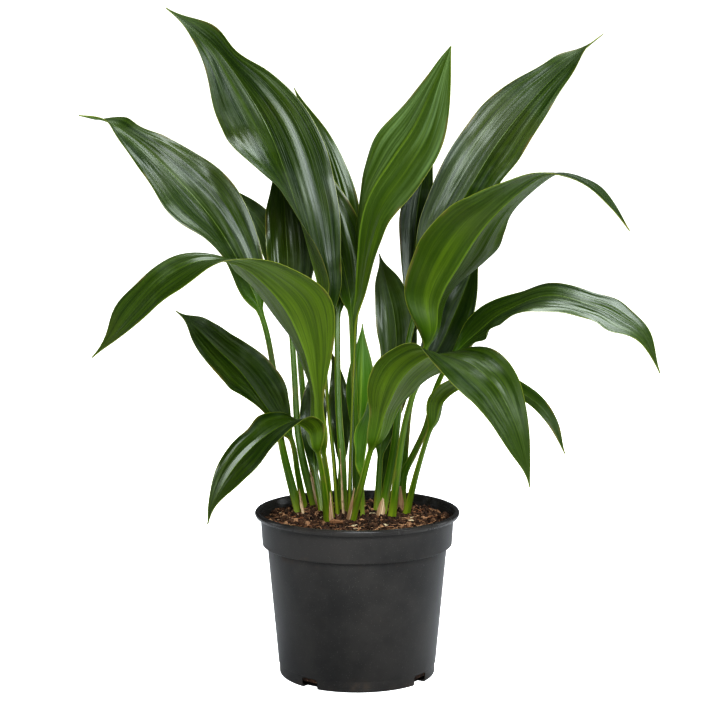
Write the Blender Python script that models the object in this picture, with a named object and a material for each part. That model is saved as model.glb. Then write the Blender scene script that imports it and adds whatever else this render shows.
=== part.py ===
"""A cast iron plant (Aspidistra elatior) in the plastic pot that it is grown and sold in.

Each leaf grew as one piece: a channelled stalk that rises from the soil and widens into a long pleated
blade. The stalks stand in plain holes in the potting mix, some with a dry papery sheath at their foot, and
the mix fills a thin-walled nursery pot with four drainage notches.

Z is up and the origin is the middle of the pot's underside. Lengths in the tables are millimetres.
"""

import math
from typing import NamedTuple

import bmesh
import bpy
from mathutils import Matrix, Vector, noise

MM = 0.001

# Pot
POT_HEIGHT = 154.5
RIM_RADIUS = 95.0
BEAD_RADIUS = 2.5
COLLAR_TOP_RADIUS = 89.7
COLLAR_FOOT_RADIUS = 88.2
COLLAR_FOOT = 123.4
LEDGE = 4.0
BODY_TOP_RADIUS = 83.5
BODY_FOOT_RADIUS = 72.5
FOOT_HEIGHT = 11.0
FOOT_RING_INNER = 62.0
FLOOR_HEIGHT = 4.0
WALL = 1.5
POT_STEPS = 48
NOTCH_ANGLES = (-37, 53, 143, 233)
NOTCH_WIDTH = 17.5
NOTCH_HEIGHT = 9.5
DRAIN_HOLES = 8
DRAIN_RADIUS = 5.0

# Soil
GAP = 0.35
SOIL_LEVEL = 145.0
SOIL_LUMP = 2.2
SOIL_LUMP_SIZE = 14.0
SOIL_STEPS = 48
SOIL_RINGS = 6
HOLE_DEPTH = 18.0
HOLE_SIDES = 12

# Leaf
BURIED = 14.0
STALK_HALF = 2.7
STALK_FOOT_HALF = 4.8
# The stalk's section as shares of its half width: the round belly, the flat side, the crown and its channel.
BELLY = 0.70
SIDE = 0.12
CROWN = 0.30
CHANNEL = 0.15
BLADE = 0.8
KEEL = 1.8
KEEL_HALF = 3.0
PLEAT = 0.9
TIP_HALF = 0.5
TAPER = 2.6
BLADE_EASE = 0.15
STALK_EASE = 0.3
TWIST_FROM = 0.8
RIPPLE_LAG = 2.1
STALK_SHARE = 0.28
PATH_SAMPLES = 24
LEAF_STATIONS = 20
SMALL_LEAF_STATIONS = 15
LEAF_COLUMNS = 6
SMALL_LEAF_COLUMNS = 4
SMALL_LEAF_WIDTH = 45.0

# Sheath
SHEATH = 0.6
SHEATH_ROOM = 1.5
SHEATH_BURIED = 4.0
SHEATH_AROUND = 6
SHEATH_UP = 3

LEAF_GREEN = (0.045, 0.115, 0.022)
YOUNG_GREEN = (0.085, 0.190, 0.025)
SOIL_BROWN = (0.035, 0.022, 0.015)
POT_BLACK = (0.022, 0.023, 0.025)
SHEATH_TAN = (0.420, 0.250, 0.130)


class Leaf(NamedTuple):
    """One leaf, from its foot at the soil to its tip."""

    spine: list              # points along the midrib; the first is where the stalk leaves the soil
    blade_from: int          # number of the spine's point where the blade begins
    width: float             # of the blade, laid flat
    faces: list              # where the upper face looks, evenly spaced from the blade's start to its tip
    fold: tuple = (40, 12, 14)   # degrees that each half stands up, at the blade's start, middle and tip
    widest: float = 0.42     # how far along the blade it is widest
    wave: tuple = (2.5, 2.2, 0.0)   # the edge's ripple: height, number of waves and phase in turns
    twist: float = 0.0       # degrees that the tip turns about its midrib
    edges: tuple = ((1, 1), (1, 1))   # each half's width against the plain outline, evenly spaced from the
                                      # blade's start to its tip; seen from above with the tip up, the
                                      # first list is the left half and the second is the right half
    colour: tuple = LEAF_GREEN


LEAVES = {
    # The left side, from the tallest down.
    "leaf_tall_left": Leaf(
        spine=[(-17, 17, 145), (-21, 19, 198), (-27, 24, 254), (-30, 32, 305), (-34, 42, 350),
               (-44, 52, 388), (-59, 62, 438), (-86, 82, 508), (-125, 100, 568), (-154, 108, 597),
               (-183, 112, 619)],
        blade_from=3, width=82, fold=(50, 60, 40, 14, 14, 14), widest=0.46, twist=50,
        faces=[(1, -0.2, 0.1), (0.8, -0.65, 0.1), (0.6, -0.8, 0.15), (0, -1, 0.2), (-0.2, -1, 0.3),
               (-0.5, -1, 0.3)],
        edges=((1, 1, 1, 1, 1, 1.05, 1.1, 1.2, 1.05, 1, 1), (1, 1, 1, 1, 1, 1.05, 1.05, 0.95, 0.7, 1.4, 1))),
    "leaf_wide_left": Leaf(
        spine=[(-55, 30, 145), (-72, 40, 213), (-80, 48, 285), (-92, 53, 335), (-120, 62, 394),
               (-151, 76, 436), (-198, 90, 483), (-233, 100, 508), (-250, 100, 514), (-266, 100, 517)],
        blade_from=3, width=66, faces=[(0.4, -1, 0.3), (0.3, -1, 0.4), (0.1, -1, 0.5)],
        widest=0.40, twist=120,
        edges=((1, 1, 0.6, 0.65, 0.95, 1.05, 1, 1, 1, 1, 1), (1, 1, 1, 1, 1.05, 1.1, 1.1, 1.05, 1, 2, 1))),
    "leaf_arched_left": Leaf(
        spine=[(-24, 6, 145), (-27, 0, 182), (-31, -8, 212), (-40, -30, 276), (-48, -44, 312),
               (-64, -58, 349), (-90, -74, 380), (-114, -88, 393), (-140, -100, 393), (-168, -110, 378),
               (-194, -114, 350), (-212, -114, 328), (-229, -112, 311)],
        blade_from=2, width=86, fold=(50, 35, 12, 2, 8),
        faces=[(0.6, 0.8, 0.2), (0.6, 0.75, 0.3), (0.25, 0.35, 0.9), (-0.3, -0.6, 0.8),
               (-0.5, -0.9, 0.3)],
        edges=((1, 0.3, 0.45, 0.8, 1.1, 0.9, 0.7, 1, 1.1, 1.4, 1),
               (1, 1, 1.35, 1.5, 1.45, 1.1, 0.55, 0.75, 1, 1.9, 1))),
    "leaf_short_left": Leaf(
        spine=[(-50, 44, 145), (-56, 42, 179), (-63, 38, 216), (-84, 30, 244), (-108, 20, 280),
               (-131, 14, 304), (-151, 10, 325), (-167, 8, 339)],
        blade_from=2, width=50, faces=[(0.5, -0.8, 0.5), (0.3, -0.8, 0.5), (0.2, -1, 0.4)], twist=40,
        edges=((1, 0.8, 0.5, 0.5, 0.7, 1, 1.05, 1.1, 1.3, 1.5, 1),
               (1, 1.1, 1.25, 1.2, 1.1, 1.05, 1.05, 1.15, 1.4, 1.8, 1))),
    "leaf_drooping_left": Leaf(
        spine=[(-27, -8, 145), (-31, -20, 186), (-36, -34, 216), (-44, -50, 237), (-58, -64, 247),
               (-77, -78, 240), (-94, -88, 227), (-112, -97, 206), (-126, -104, 181), (-131, -106, 163)],
        blade_from=2, width=46,
        faces=[(0.5, 0.8, 0.3), (0.3, 0.1, 1), (-0.3, -0.9, 0.6), (-0.5, -0.9, 0.3)],
        edges=((1, 1, 1, 1, 0.9, 1, 1.2, 1.2, 1.2, 1, 1), (1, 1, 0.5, 0.7, 0.85, 0.7, 0.85, 0.95, 1, 1, 1))),
    # The right side, from the tallest down.
    "leaf_tall_right": Leaf(
        spine=[(23, 20, 145), (34, 30, 203), (39, 40, 243), (47, 55, 297), (60, 68, 348),
               (79, 85, 399), (101, 98, 436), (136, 118, 491), (177, 138, 539), (218, 152, 577),
               (241, 158, 596)],
        blade_from=4, width=70, faces=[(-0.3, -1, 0.2), (-0.2, -1, 0.3), (0, -1, 0.3)], twist=-90,
        edges=((1, 1, 1, 1, 1, 1, 1.1, 1.15, 1.15, 1.6, 1),
               (1, 1, 1, 0.9, 0.75, 0.85, 0.85, 0.9, 0.95, 1.2, 1))),
    "leaf_arched_right": Leaf(
        spine=[(32, 10, 145), (42, 3, 224), (52, -5, 267), (63, -14, 310), (75, -26, 354),
               (88, -35, 380), (115, -54, 424), (153, -74, 461), (176, -84, 468), (201, -92, 459),
               (219, -98, 442), (235, -102, 420)],
        blade_from=3, width=84, fold=(45, 30, 10, 2, 8),
        faces=[(-0.5, 0.85, 0.2), (-0.5, 0.85, 0.3), (-0.3, 0.4, 0.8), (0, 0, 1), (0.5, -0.5, 0.7)],
        edges=((1, 0.8, 1.25, 1.5, 1.05, 0.8, 1, 1, 1, 1, 1), (1, 1.35, 1.2, 1.1, 1, 1, 1, 1, 1, 1, 1))),
    "leaf_long_right": Leaf(
        spine=[(42, 44, 145), (44, 48, 177), (54, 52, 198), (66, 54, 225), (74, 52, 259),
               (88, 46, 288), (115, 36, 318), (137, 24, 337), (175, -4, 355), (213, -36, 348),
               (234, -52, 339), (253, -68, 325), (267, -80, 293)],
        blade_from=5, width=62, fold=(40, 8, 0, 5),
        faces=[(0, -0.5, 0.8), (0.1, -0.5, 0.85), (0.4, -0.8, 0.5)],
        edges=((1, 0.9, 0.8, 0.7, 0.75, 0.6, 0.65, 1, 1.05, 1.1, 1),
               (1, 1.2, 1.6, 1.5, 1.6, 1.45, 0.9, 0.95, 1.6, 1.1, 1))),
    "leaf_drooping_right": Leaf(
        spine=[(46, 28, 145), (56, 22, 187), (68, 14, 229), (77, 5, 252), (91, -8, 268),
               (112, -22, 277), (138, -34, 274), (160, -42, 262), (175, -48, 244), (187, -52, 216)],
        blade_from=2, width=44, faces=[(-0.5, 0.7, 0.3), (0, -0.2, 1), (0.4, -0.8, 0.6)],
        edges=((1, 1, 1, 1, 1, 0.75, 0.6, 0.7, 0.8, 1, 1), (1, 1, 1, 1, 1, 0.9, 0.7, 0.75, 0.9, 1, 1))),
    "leaf_front_arched": Leaf(
        spine=[(-5, -7, 145), (4, -18, 182), (13, -30, 218), (28, -55, 262), (41, -72, 290),
               (60, -92, 309), (78, -106, 312), (98, -122, 307), (116, -135, 293), (128, -141, 274),
               (138, -144, 250), (144, -144, 226), (148, -142, 203)],
        blade_from=2, width=82, fold=(45, 12, 3, 8),
        faces=[(-0.3, 0.9, 0.3), (-0.2, 0.7, 0.7), (0.2, -0.7, 0.8), (0.4, -0.9, 0.3)],
        edges=((1, 1, 1, 1, 0.95, 0.75, 0.8, 0.85, 0.8, 0.8, 1),
               (1, 0.6, 0.75, 0.75, 0.7, 0.9, 1, 1.1, 1.3, 1.6, 1))),
    # The middle.
    "leaf_upright_centre": Leaf(
        spine=[(-6, 17, 145), (-5, 19, 201), (-3, 15, 268), (-1, 12, 315), (0, 7, 366), (4, 0, 418),
               (13, -5, 448), (33, -12, 480), (52, -18, 509), (70, -30, 549), (83, -38, 579)],
        blade_from=3, width=63, widest=0.56,
        faces=[(1, -0.2, 0), (0.8, 0.6, 0), (0.5, 1, 0), (0.3, 1, 0)],
        edges=((1, 1, 1, 1, 1, 1, 1.05, 1.1, 1.1, 1.05, 1), (1, 1, 1, 0.8, 0.5, 0.7, 0.9, 0.9, 0.8, 0.75, 1))),
    "leaf_young_front": Leaf(
        spine=[(4, 9, 145), (4, 4, 183), (7, 0, 210), (12, -6, 239), (17, -12, 264), (24, -20, 290)],
        blade_from=1, width=28, faces=[(-0.8, 0.3, 0), (-0.6, 0.6, 0.2)], colour=YOUNG_GREEN),
    "leaf_young_centre": Leaf(
        spine=[(4, 56, 145), (1, 60, 209), (3, 62, 248), (4, 66, 286), (5, 70, 320)],
        blade_from=1, width=28, faces=[(0, 1, 0.1), (0, 1, 0.1)], colour=YOUNG_GREEN),
    "leaf_inner_left": Leaf(
        spine=[(-18, 48, 145), (-15, 60, 190), (-16, 70, 227), (-18, 76, 255), (-21, 80, 277),
               (-26, 82, 294)],
        blade_from=1, width=22, faces=[(0, -1, 0), (0, -1, 0)]),
    "leaf_inner_right": Leaf(
        spine=[(19, 34, 145), (22, 44, 199), (27, 54, 232), (33, 62, 269), (37, 69, 302),
               (35, 75, 330), (29, 79, 355), (21, 82, 386)],
        blade_from=1, width=42, faces=[(-0.1, -1, 0.1), (-0.1, -1, 0.1)],
        edges=((1, 0.7, 0.6, 0.6, 0.6, 0.7, 1, 1.3, 1.6, 2, 1), (1, 1, 1, 1, 1, 1, 1.15, 1.4, 1.9, 2.4, 1))),
    # Behind, from left to right.
    "leaf_low_left": Leaf(
        spine=[(-33, 36, 145), (-40, 48, 182), (-42, 60, 209), (-42, 70, 237), (-40, 75, 265),
               (-37, 78, 294)],
        blade_from=1, width=26, faces=[(0, -1, 0.1), (0, -1, 0.1)]),
    "leaf_back_left": Leaf(
        spine=[(-40, 54, 145), (-50, 58, 181), (-57, 66, 218), (-60, 76, 265), (-63, 86, 310),
               (-67, 102, 373), (-71, 118, 434), (-71, 126, 464), (-66, 132, 500)],
        blade_from=4, width=56, faces=[(0.1, -1, 0.2), (0.1, -1, 0.2)],
        edges=((1, 0.9, 0.85, 0.8, 0.75, 0.75, 0.8, 0.75, 0.8, 1, 1), (1, 1))),
    "leaf_behind_tall_left": Leaf(
        spine=[(-14, 32, 145), (-14, 36, 188), (-18, 50, 250), (-19, 70, 330), (-19, 92, 398),
               (-25, 104, 444), (-38, 115, 494), (-61, 124, 543)],
        blade_from=3, width=48, faces=[(0, -1, 0.2), (0, -1, 0.2)]),
    "leaf_far_back_left": Leaf(
        spine=[(-34, 66, 145), (-48, 85, 205), (-54, 100, 262), (-60, 115, 319), (-74, 130, 376),
               (-100, 140, 420), (-127, 145, 448)],
        blade_from=3, width=42, faces=[(0.3, -0.7, 0.6), (0.3, -0.7, 0.6)]),
    "leaf_back_centre": Leaf(
        spine=[(0, 40, 145), (-1, 46, 200), (-3, 52, 265), (-6, 60, 334), (-12, 68, 372),
               (-22, 75, 406), (-34, 82, 440), (-47, 88, 475), (-58, 90, 498)],
        blade_from=3, width=52, faces=[(0.3, -1, 0.2), (0, -1, 0.2), (-0.1, -1, 0.2)]),
    "leaf_back_right": Leaf(
        spine=[(22, 64, 145), (32, 75, 217), (43, 88, 283), (52, 100, 340), (55, 110, 387),
               (59, 118, 430), (68, 125, 476), (78, 128, 508)],
        blade_from=2, width=42, faces=[(-0.2, -1, 0.1), (-0.2, -1, 0.1)],
        edges=((1, 0.6, 0.5, 0.45, 0.55, 0.7, 0.9, 1, 1, 1, 1), (1, 1))),
    "leaf_behind_right": Leaf(
        spine=[(36, 58, 145), (44, 62, 180), (50, 70, 238), (60, 76, 265), (80, 82, 298),
               (91, 86, 322), (105, 91, 355), (118, 95, 393)],
        blade_from=3, width=42, faces=[(-0.4, -0.9, 0.2), (-0.4, -0.9, 0.2)]),
}

# Each sheath: its leaf, the way that its middle faces in degrees (0 is the front, 90 the right), how far
# round the stalk it reaches, and how high it stands.
SHEATHS = {
    "sheath_left": ("leaf_wide_left", 80, 100, 22),
    "sheath_drooping_left": ("leaf_drooping_left", 70, 110, 30),
    "sheath_tall_left": ("leaf_tall_left", 90, 110, 60),
    "sheath_front": ("leaf_front_arched", -80, 120, 34),
    "sheath_middle_right": ("leaf_tall_right", -20, 90, 16),
    "sheath_long_right": ("leaf_long_right", -50, 140, 26),
    "sheath_back_left": ("leaf_back_left", 60, 90, 36),
}


# ---------------------------------------------------------------- helpers

def clear_scene():
    """Start from an empty scene."""
    for thing in list(bpy.data.objects):
        bpy.data.objects.remove(thing, do_unlink=True)


def make_material(name, colour, roughness):
    """A plain material of one colour."""
    material = bpy.data.materials.new(name)
    material.use_nodes = True
    shader = material.node_tree.nodes["Principled BSDF"]
    shader.inputs["Base Color"].default_value = (*colour, 1.0)
    shader.inputs["Roughness"].default_value = roughness
    shader.inputs["Metallic"].default_value = 0.0
    return material


def make_object(name, bm, material=None):
    """Turn a bmesh into a named object, shaded smooth except at its sharp edges."""
    mesh = bpy.data.meshes.new(name)
    bm.to_mesh(mesh)
    bm.free()
    mesh.shade_smooth()
    mesh.set_sharp_from_angle(angle=math.radians(40))
    thing = bpy.data.objects.new(name, mesh)
    bpy.context.scene.collection.objects.link(thing)
    if material:
        mesh.materials.append(material)
    return thing


def cut(target, name, bm):
    """Cut the shape in bm out of the target."""
    cutter = make_object(name, bm)
    cutter.hide_render = True
    cutter.display_type = "WIRE"
    boolean = target.modifiers.new(name, "BOOLEAN")
    boolean.operation = "DIFFERENCE"
    boolean.object = cutter


def smoothstep(value):
    """Ease from 0 to 1 as value goes from 0 to 1."""
    value = min(1.0, max(0.0, value))
    return value * value * (3.0 - 2.0 * value)


def flow(values, fraction):
    """Read a list whose entries are evenly spaced from 0 to 1, in between by a smooth curve."""
    place = min(1.0, max(0.0, fraction)) * (len(values) - 1)
    first = min(int(place), len(values) - 2)
    f = place - first
    b, c = values[first], values[first + 1]
    a = values[max(0, first - 1)]
    d = values[min(len(values) - 1, first + 2)]
    return 0.5 * (2 * b + (c - a) * f + (2 * a - 5 * b + 4 * c - d) * f ** 2
                  + (3 * b - 3 * c + d - a) * f ** 3)


def spread(values, fraction):
    """Read a list whose entries are evenly spaced from 0 to 1, in between by a straight line."""
    place = min(1.0, max(0.0, fraction)) * (len(values) - 1)
    first = min(int(place), len(values) - 2)
    return values[first] + (values[first + 1] - values[first]) * (place - first)


# ---------------------------------------------------------------- leaves

def smooth_path(points):
    """Close points along a Catmull-Rom curve through the given ones."""
    ends = [2 * points[0] - points[1], *points, 2 * points[-1] - points[-2]]
    path = []
    for a, b, c, d in zip(ends, ends[1:], ends[2:], ends[3:]):
        for step in range(PATH_SAMPLES):
            f = step / PATH_SAMPLES
            path.append(0.5 * (2 * b + (c - a) * f + (2 * a - 5 * b + 4 * c - d) * f ** 2
                               + (3 * b - 3 * c + d - a) * f ** 3))
    path.append(points[-1])
    return path


def buried_spine(leaf):
    """The leaf's spine with the straight end of its stalk that stands in the soil."""
    points = [Vector(point) for point in leaf.spine]
    down = (points[0] - points[1]).normalized()
    return [points[0] + down * BURIED, *points]


class Midrib:
    """A leaf's midrib, read by distance from its buried end."""

    def __init__(self, leaf):
        self.path = smooth_path(buried_spine(leaf))
        self.marks = [0.0]
        for here, there in zip(self.path, self.path[1:]):
            self.marks.append(self.marks[-1] + (there - here).length)
        self.length = self.marks[-1]
        self.stalk = self.marks[(leaf.blade_from + 1) * PATH_SAMPLES]

    def at(self, distance):
        """The point at a distance along the midrib."""
        distance = min(self.length, max(0.0, distance))
        last = len(self.path) - 2
        index = min(last, next((i for i, mark in enumerate(self.marks[1:]) if mark >= distance), last))
        span = self.marks[index + 1] - self.marks[index]
        return self.path[index].lerp(self.path[index + 1], (distance - self.marks[index]) / span)

    def heading(self, distance):
        """The way that the midrib runs at a distance along it."""
        return (self.at(distance + 2.0) - self.at(distance - 2.0)).normalized()


def half_width(leaf, along, stalk_part):
    """Half the leaf's width: along counts from 0 to 1 on the blade, stalk_part on the stalk."""
    stalk = STALK_HALF + (STALK_FOOT_HALF - STALK_HALF) * (1.0 - stalk_part) ** 2
    if along <= 0.0:
        return stalk
    start = TAPER * leaf.widest
    end = TAPER * (1.0 - leaf.widest)
    swell = (along / leaf.widest) ** start * ((1.0 - along) / (1.0 - leaf.widest)) ** end
    return leaf.width / 2 * swell + stalk * (1.0 - smoothstep(along / STALK_EASE)) + TIP_HALF


def section(leaf, along, half, across, upper, pleats):
    """Where a point of the leaf lies in its cross-section: sideways, and towards the upper face.

    across runs from -1 to 1 over the width. The stalk is a half round with a shallow channel; the blade is
    two pleated halves folded up from the midrib, with rippled edges and a keel below.
    """
    out = abs(across)
    blade = smoothstep(along / BLADE_EASE)
    fold = math.radians(spread(leaf.fold, along))
    height, waves, phase = leaf.wave
    turn = 2 * math.pi * (waves * along + phase) + (RIPPLE_LAG if across > 0 else 0.0)
    ripple = height * out * out * math.sin(turn) * 4 * along * (1 - along) * half / (leaf.width / 2)
    pleat = -PLEAT * math.cos(pleats * math.pi * out) * min(1.0, half / 15.0)
    blade_rise = half * out * math.sin(fold) + ripple + pleat
    if upper:
        stalk_rise = half * (CROWN * (1 - across ** 2) - CHANNEL * (1 - out))
        blade_rise += BLADE / 2
    else:
        stalk_rise = -half * (BELLY * math.sqrt(max(0.0, 1 - across ** 2)) + SIDE)
        ridge = max(0.0, 1 - (half * out / KEEL_HALF) ** 2)
        blade_rise -= BLADE / 2 + KEEL * ridge * (1 - 0.85 * along)
    rise = stalk_rise + (blade_rise - stalk_rise) * blade
    side = half * across * (1 + (math.cos(fold) - 1) * blade)
    return side, rise


def build_leaf(name, leaf):
    """A leaf as one closed body: a flat grid, thickened, then laid along its midrib."""
    small = leaf.width < SMALL_LEAF_WIDTH
    stations = SMALL_LEAF_STATIONS if small else LEAF_STATIONS
    columns = SMALL_LEAF_COLUMNS if small else LEAF_COLUMNS
    bm = bmesh.new()
    bmesh.ops.create_grid(bm, x_segments=stations, y_segments=columns, size=0.5)
    bmesh.ops.triangulate(bm, faces=bm.faces[:], quad_method="FIXED")
    lower = bm.verts[:]
    grown = bmesh.ops.extrude_face_region(bm, geom=bm.faces[:], use_keep_orig=True)
    upper = [part for part in grown["geom"] if isinstance(part, bmesh.types.BMVert)]
    midrib = Midrib(leaf)
    frames = [station_frame(leaf, midrib, index / stations) for index in range(stations + 1)]
    for side_verts, is_upper in ((lower, False), (upper, True)):
        for vert in side_verts:
            frame = frames[round((vert.co.x + 0.5) * stations)]
            vert.co = place_on_leaf(leaf, frame, 2 * vert.co.y, is_upper, columns / 2)
    bmesh.ops.triangulate(bm, faces=[face for face in bm.faces if len(face.verts) > 3])
    bmesh.ops.recalc_face_normals(bm, faces=bm.faces[:])
    return make_object(name, bm, make_material(name, leaf.colour, 0.38))


def station_frame(leaf, midrib, fraction):
    """Middle, sideways direction, upper direction and measures of the leaf at a fraction of its stations."""
    if fraction < STALK_SHARE:
        distance = midrib.stalk * fraction / STALK_SHARE
    else:
        blade = (fraction - STALK_SHARE) / (1 - STALK_SHARE)
        distance = midrib.stalk + (midrib.length - midrib.stalk) * blade
    along = min(1.0, (distance - midrib.stalk) / (midrib.length - midrib.stalk))
    heading = midrib.heading(distance)
    face = spread([Vector(way) for way in leaf.faces], along)
    face = (face - heading * face.dot(heading)).normalized()
    turn = math.radians(leaf.twist) * smoothstep((along - TWIST_FROM) / (1 - TWIST_FROM))
    face = Matrix.Rotation(turn, 3, heading) @ face
    half = half_width(leaf, along, min(1.0, distance / midrib.stalk))
    return midrib.at(distance), heading.cross(face), face, along, half


def place_on_leaf(leaf, frame, across, is_upper, pleats):
    """A point of the leaf in space, in metres."""
    middle, sideways, face, along, half = frame
    half *= flow(leaf.edges[across > 0], along)
    side, rise = section(leaf, max(0.0, along), half, across, is_upper, pleats)
    return (middle + sideways * side + face * rise) * MM


# ---------------------------------------------------------------- pot and soil

def arc(middle, radius, start, end, steps):
    """Points (radius, height) on a round corner of a profile, between two angles in degrees."""
    points = []
    for step in range(steps + 1):
        angle = math.radians(start + (end - start) * step / steps)
        points.append((middle[0] + radius * math.cos(angle), middle[1] + radius * math.sin(angle)))
    return points


def spin_profile(profile, steps):
    """A closed body turned about Z from a profile that starts and ends on the axis."""
    bm = bmesh.new()
    verts = [bm.verts.new((radius * MM, 0.0, height * MM)) for radius, height in profile]
    edges = [bm.edges.new(pair) for pair in zip(verts, verts[1:])]
    bmesh.ops.spin(bm, geom=verts + edges, axis=(0, 0, 1), cent=(0, 0, 0), angle=2 * math.pi,
                   steps=steps, use_merge=True, use_duplicate=False)
    bmesh.ops.remove_doubles(bm, verts=bm.verts[:], dist=0.00001)
    bmesh.ops.recalc_face_normals(bm, faces=bm.faces[:])
    return bm


def inner_wall(height):
    """Radius of the pot's inside at a height on its tapered body."""
    slope = (BODY_TOP_RADIUS - BODY_FOOT_RADIUS) / COLLAR_FOOT
    return BODY_FOOT_RADIUS + slope * height - WALL


def pot_profile():
    """The pot's section: in along the underside, up the outside, over the rim and down the inside."""
    underside = [(0, FLOOR_HEIGHT), (FOOT_RING_INNER - 1, FLOOR_HEIGHT), (FOOT_RING_INNER, 0)]
    foot = arc((BODY_FOOT_RADIUS - 2.5, 2.5), 2.5, -90, 0, 3)
    foot += [(BODY_FOOT_RADIUS + 0.2, FOOT_HEIGHT - 0.5), (BODY_FOOT_RADIUS + 0.9, FOOT_HEIGHT + 0.5)]
    body = arc((BODY_TOP_RADIUS + 1.5, COLLAR_FOOT - 2.4), 1.5, 180, 90, 2)
    collar = arc((COLLAR_FOOT_RADIUS - 1.2, COLLAR_FOOT + 0.3), 1.2, -90, 0, 2)
    collar.append((COLLAR_TOP_RADIUS, POT_HEIGHT - 5.4))
    bead_middle = (RIM_RADIUS - BEAD_RADIUS, POT_HEIGHT - BEAD_RADIUS)
    bead = [(RIM_RADIUS - 1.0, POT_HEIGHT - 5.0), *arc(bead_middle, BEAD_RADIUS, -15, 180, 6)]
    inside = [(COLLAR_TOP_RADIUS - WALL, POT_HEIGHT - 5.4),
              (COLLAR_FOOT_RADIUS - WALL, COLLAR_FOOT + LEDGE / 2),
              (inner_wall(COLLAR_FOOT), COLLAR_FOOT - LEDGE / 2), (inner_wall(3), 3),
              (BODY_FOOT_RADIUS - 3, WALL), (FOOT_RING_INNER + WALL, WALL),
              (FOOT_RING_INNER + WALL - 1, FLOOR_HEIGHT + WALL), (0, FLOOR_HEIGHT + WALL)]
    return underside + foot + body + collar + bead + inside


def build_pot():
    """The nursery pot with its drainage notches and the drain holes in its floor."""
    bm = spin_profile(pot_profile(), POT_STEPS)
    pot = make_object("pot", bm, make_material("pot", POT_BLACK, 0.5))
    for number, angle in enumerate(NOTCH_ANGLES):
        cut(pot, f"notch_{number}", notch_shape(angle))
    for number in range(DRAIN_HOLES):
        cut(pot, f"drain_{number}", drain_shape(360 / DRAIN_HOLES * (number + 0.5)))
    return pot


def outward(angle):
    """The turn that carries a shape made at the front (-Y) round the pot, positive to the right."""
    return Matrix.Rotation(math.radians(angle), 4, "Z")


def notch_shape(angle):
    """A round-topped block that cuts one drainage notch through the foot."""
    bm = bmesh.new()
    bmesh.ops.create_cube(bm, size=1.0)
    bmesh.ops.scale(bm, vec=Vector((NOTCH_WIDTH, 18, 2 * NOTCH_HEIGHT)) * MM, verts=bm.verts)
    upper = [edge for edge in bm.edges if all(vert.co.z > 0 for vert in edge.verts)
             and abs(edge.verts[0].co.x - edge.verts[1].co.x) < MM]
    bmesh.ops.bevel(bm, geom=upper, offset=2.5 * MM, segments=3, profile=0.5, affect="EDGES", material=-1)
    bmesh.ops.translate(bm, vec=(0, -BODY_FOOT_RADIUS * MM, 0), verts=bm.verts)
    bmesh.ops.transform(bm, matrix=outward(angle), verts=bm.verts)
    return bm


def drain_shape(angle):
    """A round cutter for one drain hole in the floor."""
    bm = bmesh.new()
    bmesh.ops.create_cone(bm, cap_ends=True, segments=12, radius1=DRAIN_RADIUS * MM,
                          radius2=DRAIN_RADIUS * MM, depth=8 * MM)
    bmesh.ops.translate(bm, vec=Vector((0, -42, FLOOR_HEIGHT)) * MM, verts=bm.verts)
    bmesh.ops.transform(bm, matrix=outward(angle), verts=bm.verts)
    return bm


def soil_height(x, y):
    """Height of the lumpy soil surface at a place, all in millimetres."""
    place = Vector((x, y, 0)) / SOIL_LUMP_SIZE
    return SOIL_LEVEL + SOIL_LUMP * noise.noise(place)


def soil_profile():
    """The soil's section: in along its bottom, up the pot's inside, then in over the top."""
    floor = FLOOR_HEIGHT + WALL + GAP
    edge = COLLAR_TOP_RADIUS - WALL - GAP - 0.4
    ledge_inner = (inner_wall(COLLAR_FOOT) - 1.2 * GAP, COLLAR_FOOT - LEDGE / 2 + 0.6 * GAP)
    ledge_outer = (COLLAR_FOOT_RADIUS - WALL - 1.2 * GAP, COLLAR_FOOT + LEDGE / 2 + 0.6 * GAP)
    sides = [(0, floor), (inner_wall(floor) - GAP, floor), ledge_inner, ledge_outer,
             (edge - 0.4, SOIL_LEVEL - 3)]
    top = [(edge * (1 - ring / SOIL_RINGS), SOIL_LEVEL) for ring in range(SOIL_RINGS + 1)]
    return sides + top


def build_soil():
    """The plug of potting mix, with one plain hole for each stalk."""
    bm = spin_profile(soil_profile(), SOIL_STEPS)
    for vert in bm.verts:
        if vert.co.z > (SOIL_LEVEL - 1) * MM:
            vert.co.z = soil_height(vert.co.x / MM, vert.co.y / MM) * MM
    bmesh.ops.triangulate(bm, faces=bm.faces[:])
    soil = make_object("soil", bm, make_material("soil", SOIL_BROWN, 0.95))
    sheathed = {entry[0] for entry in SHEATHS.values()}
    for name, leaf in LEAVES.items():
        cut(soil, f"hole_{name}", hole_shape(leaf, SHEATH_ROOM if name in sheathed else GAP))
    return soil


def foot_frame(leaf):
    """The matrix of the stalk's foot: Z runs up the stalk and -Y stays as near the front as it can."""
    points = buried_spine(leaf)
    up = (points[1] - points[0]).normalized()
    right = Vector((0, 1, 0)).cross(up).normalized()
    turn = Matrix((right, up.cross(right), up)).transposed().to_4x4()
    return Matrix.Translation(points[1] * MM) @ turn


def hole_shape(leaf, room):
    """A round cutter for a stalk's hole, with room round the stalk."""
    bm = bmesh.new()
    radius = (STALK_FOOT_HALF + room) * MM
    above = 12 * MM
    bmesh.ops.create_cone(bm, cap_ends=True, segments=HOLE_SIDES, radius1=radius, radius2=radius,
                          depth=HOLE_DEPTH * MM + above)
    bmesh.ops.translate(bm, vec=(0, 0, (above - HOLE_DEPTH * MM) / 2), verts=bm.verts)
    bmesh.ops.transform(bm, matrix=foot_frame(leaf), verts=bm.verts)
    return bm


# ---------------------------------------------------------------- sheaths

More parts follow.
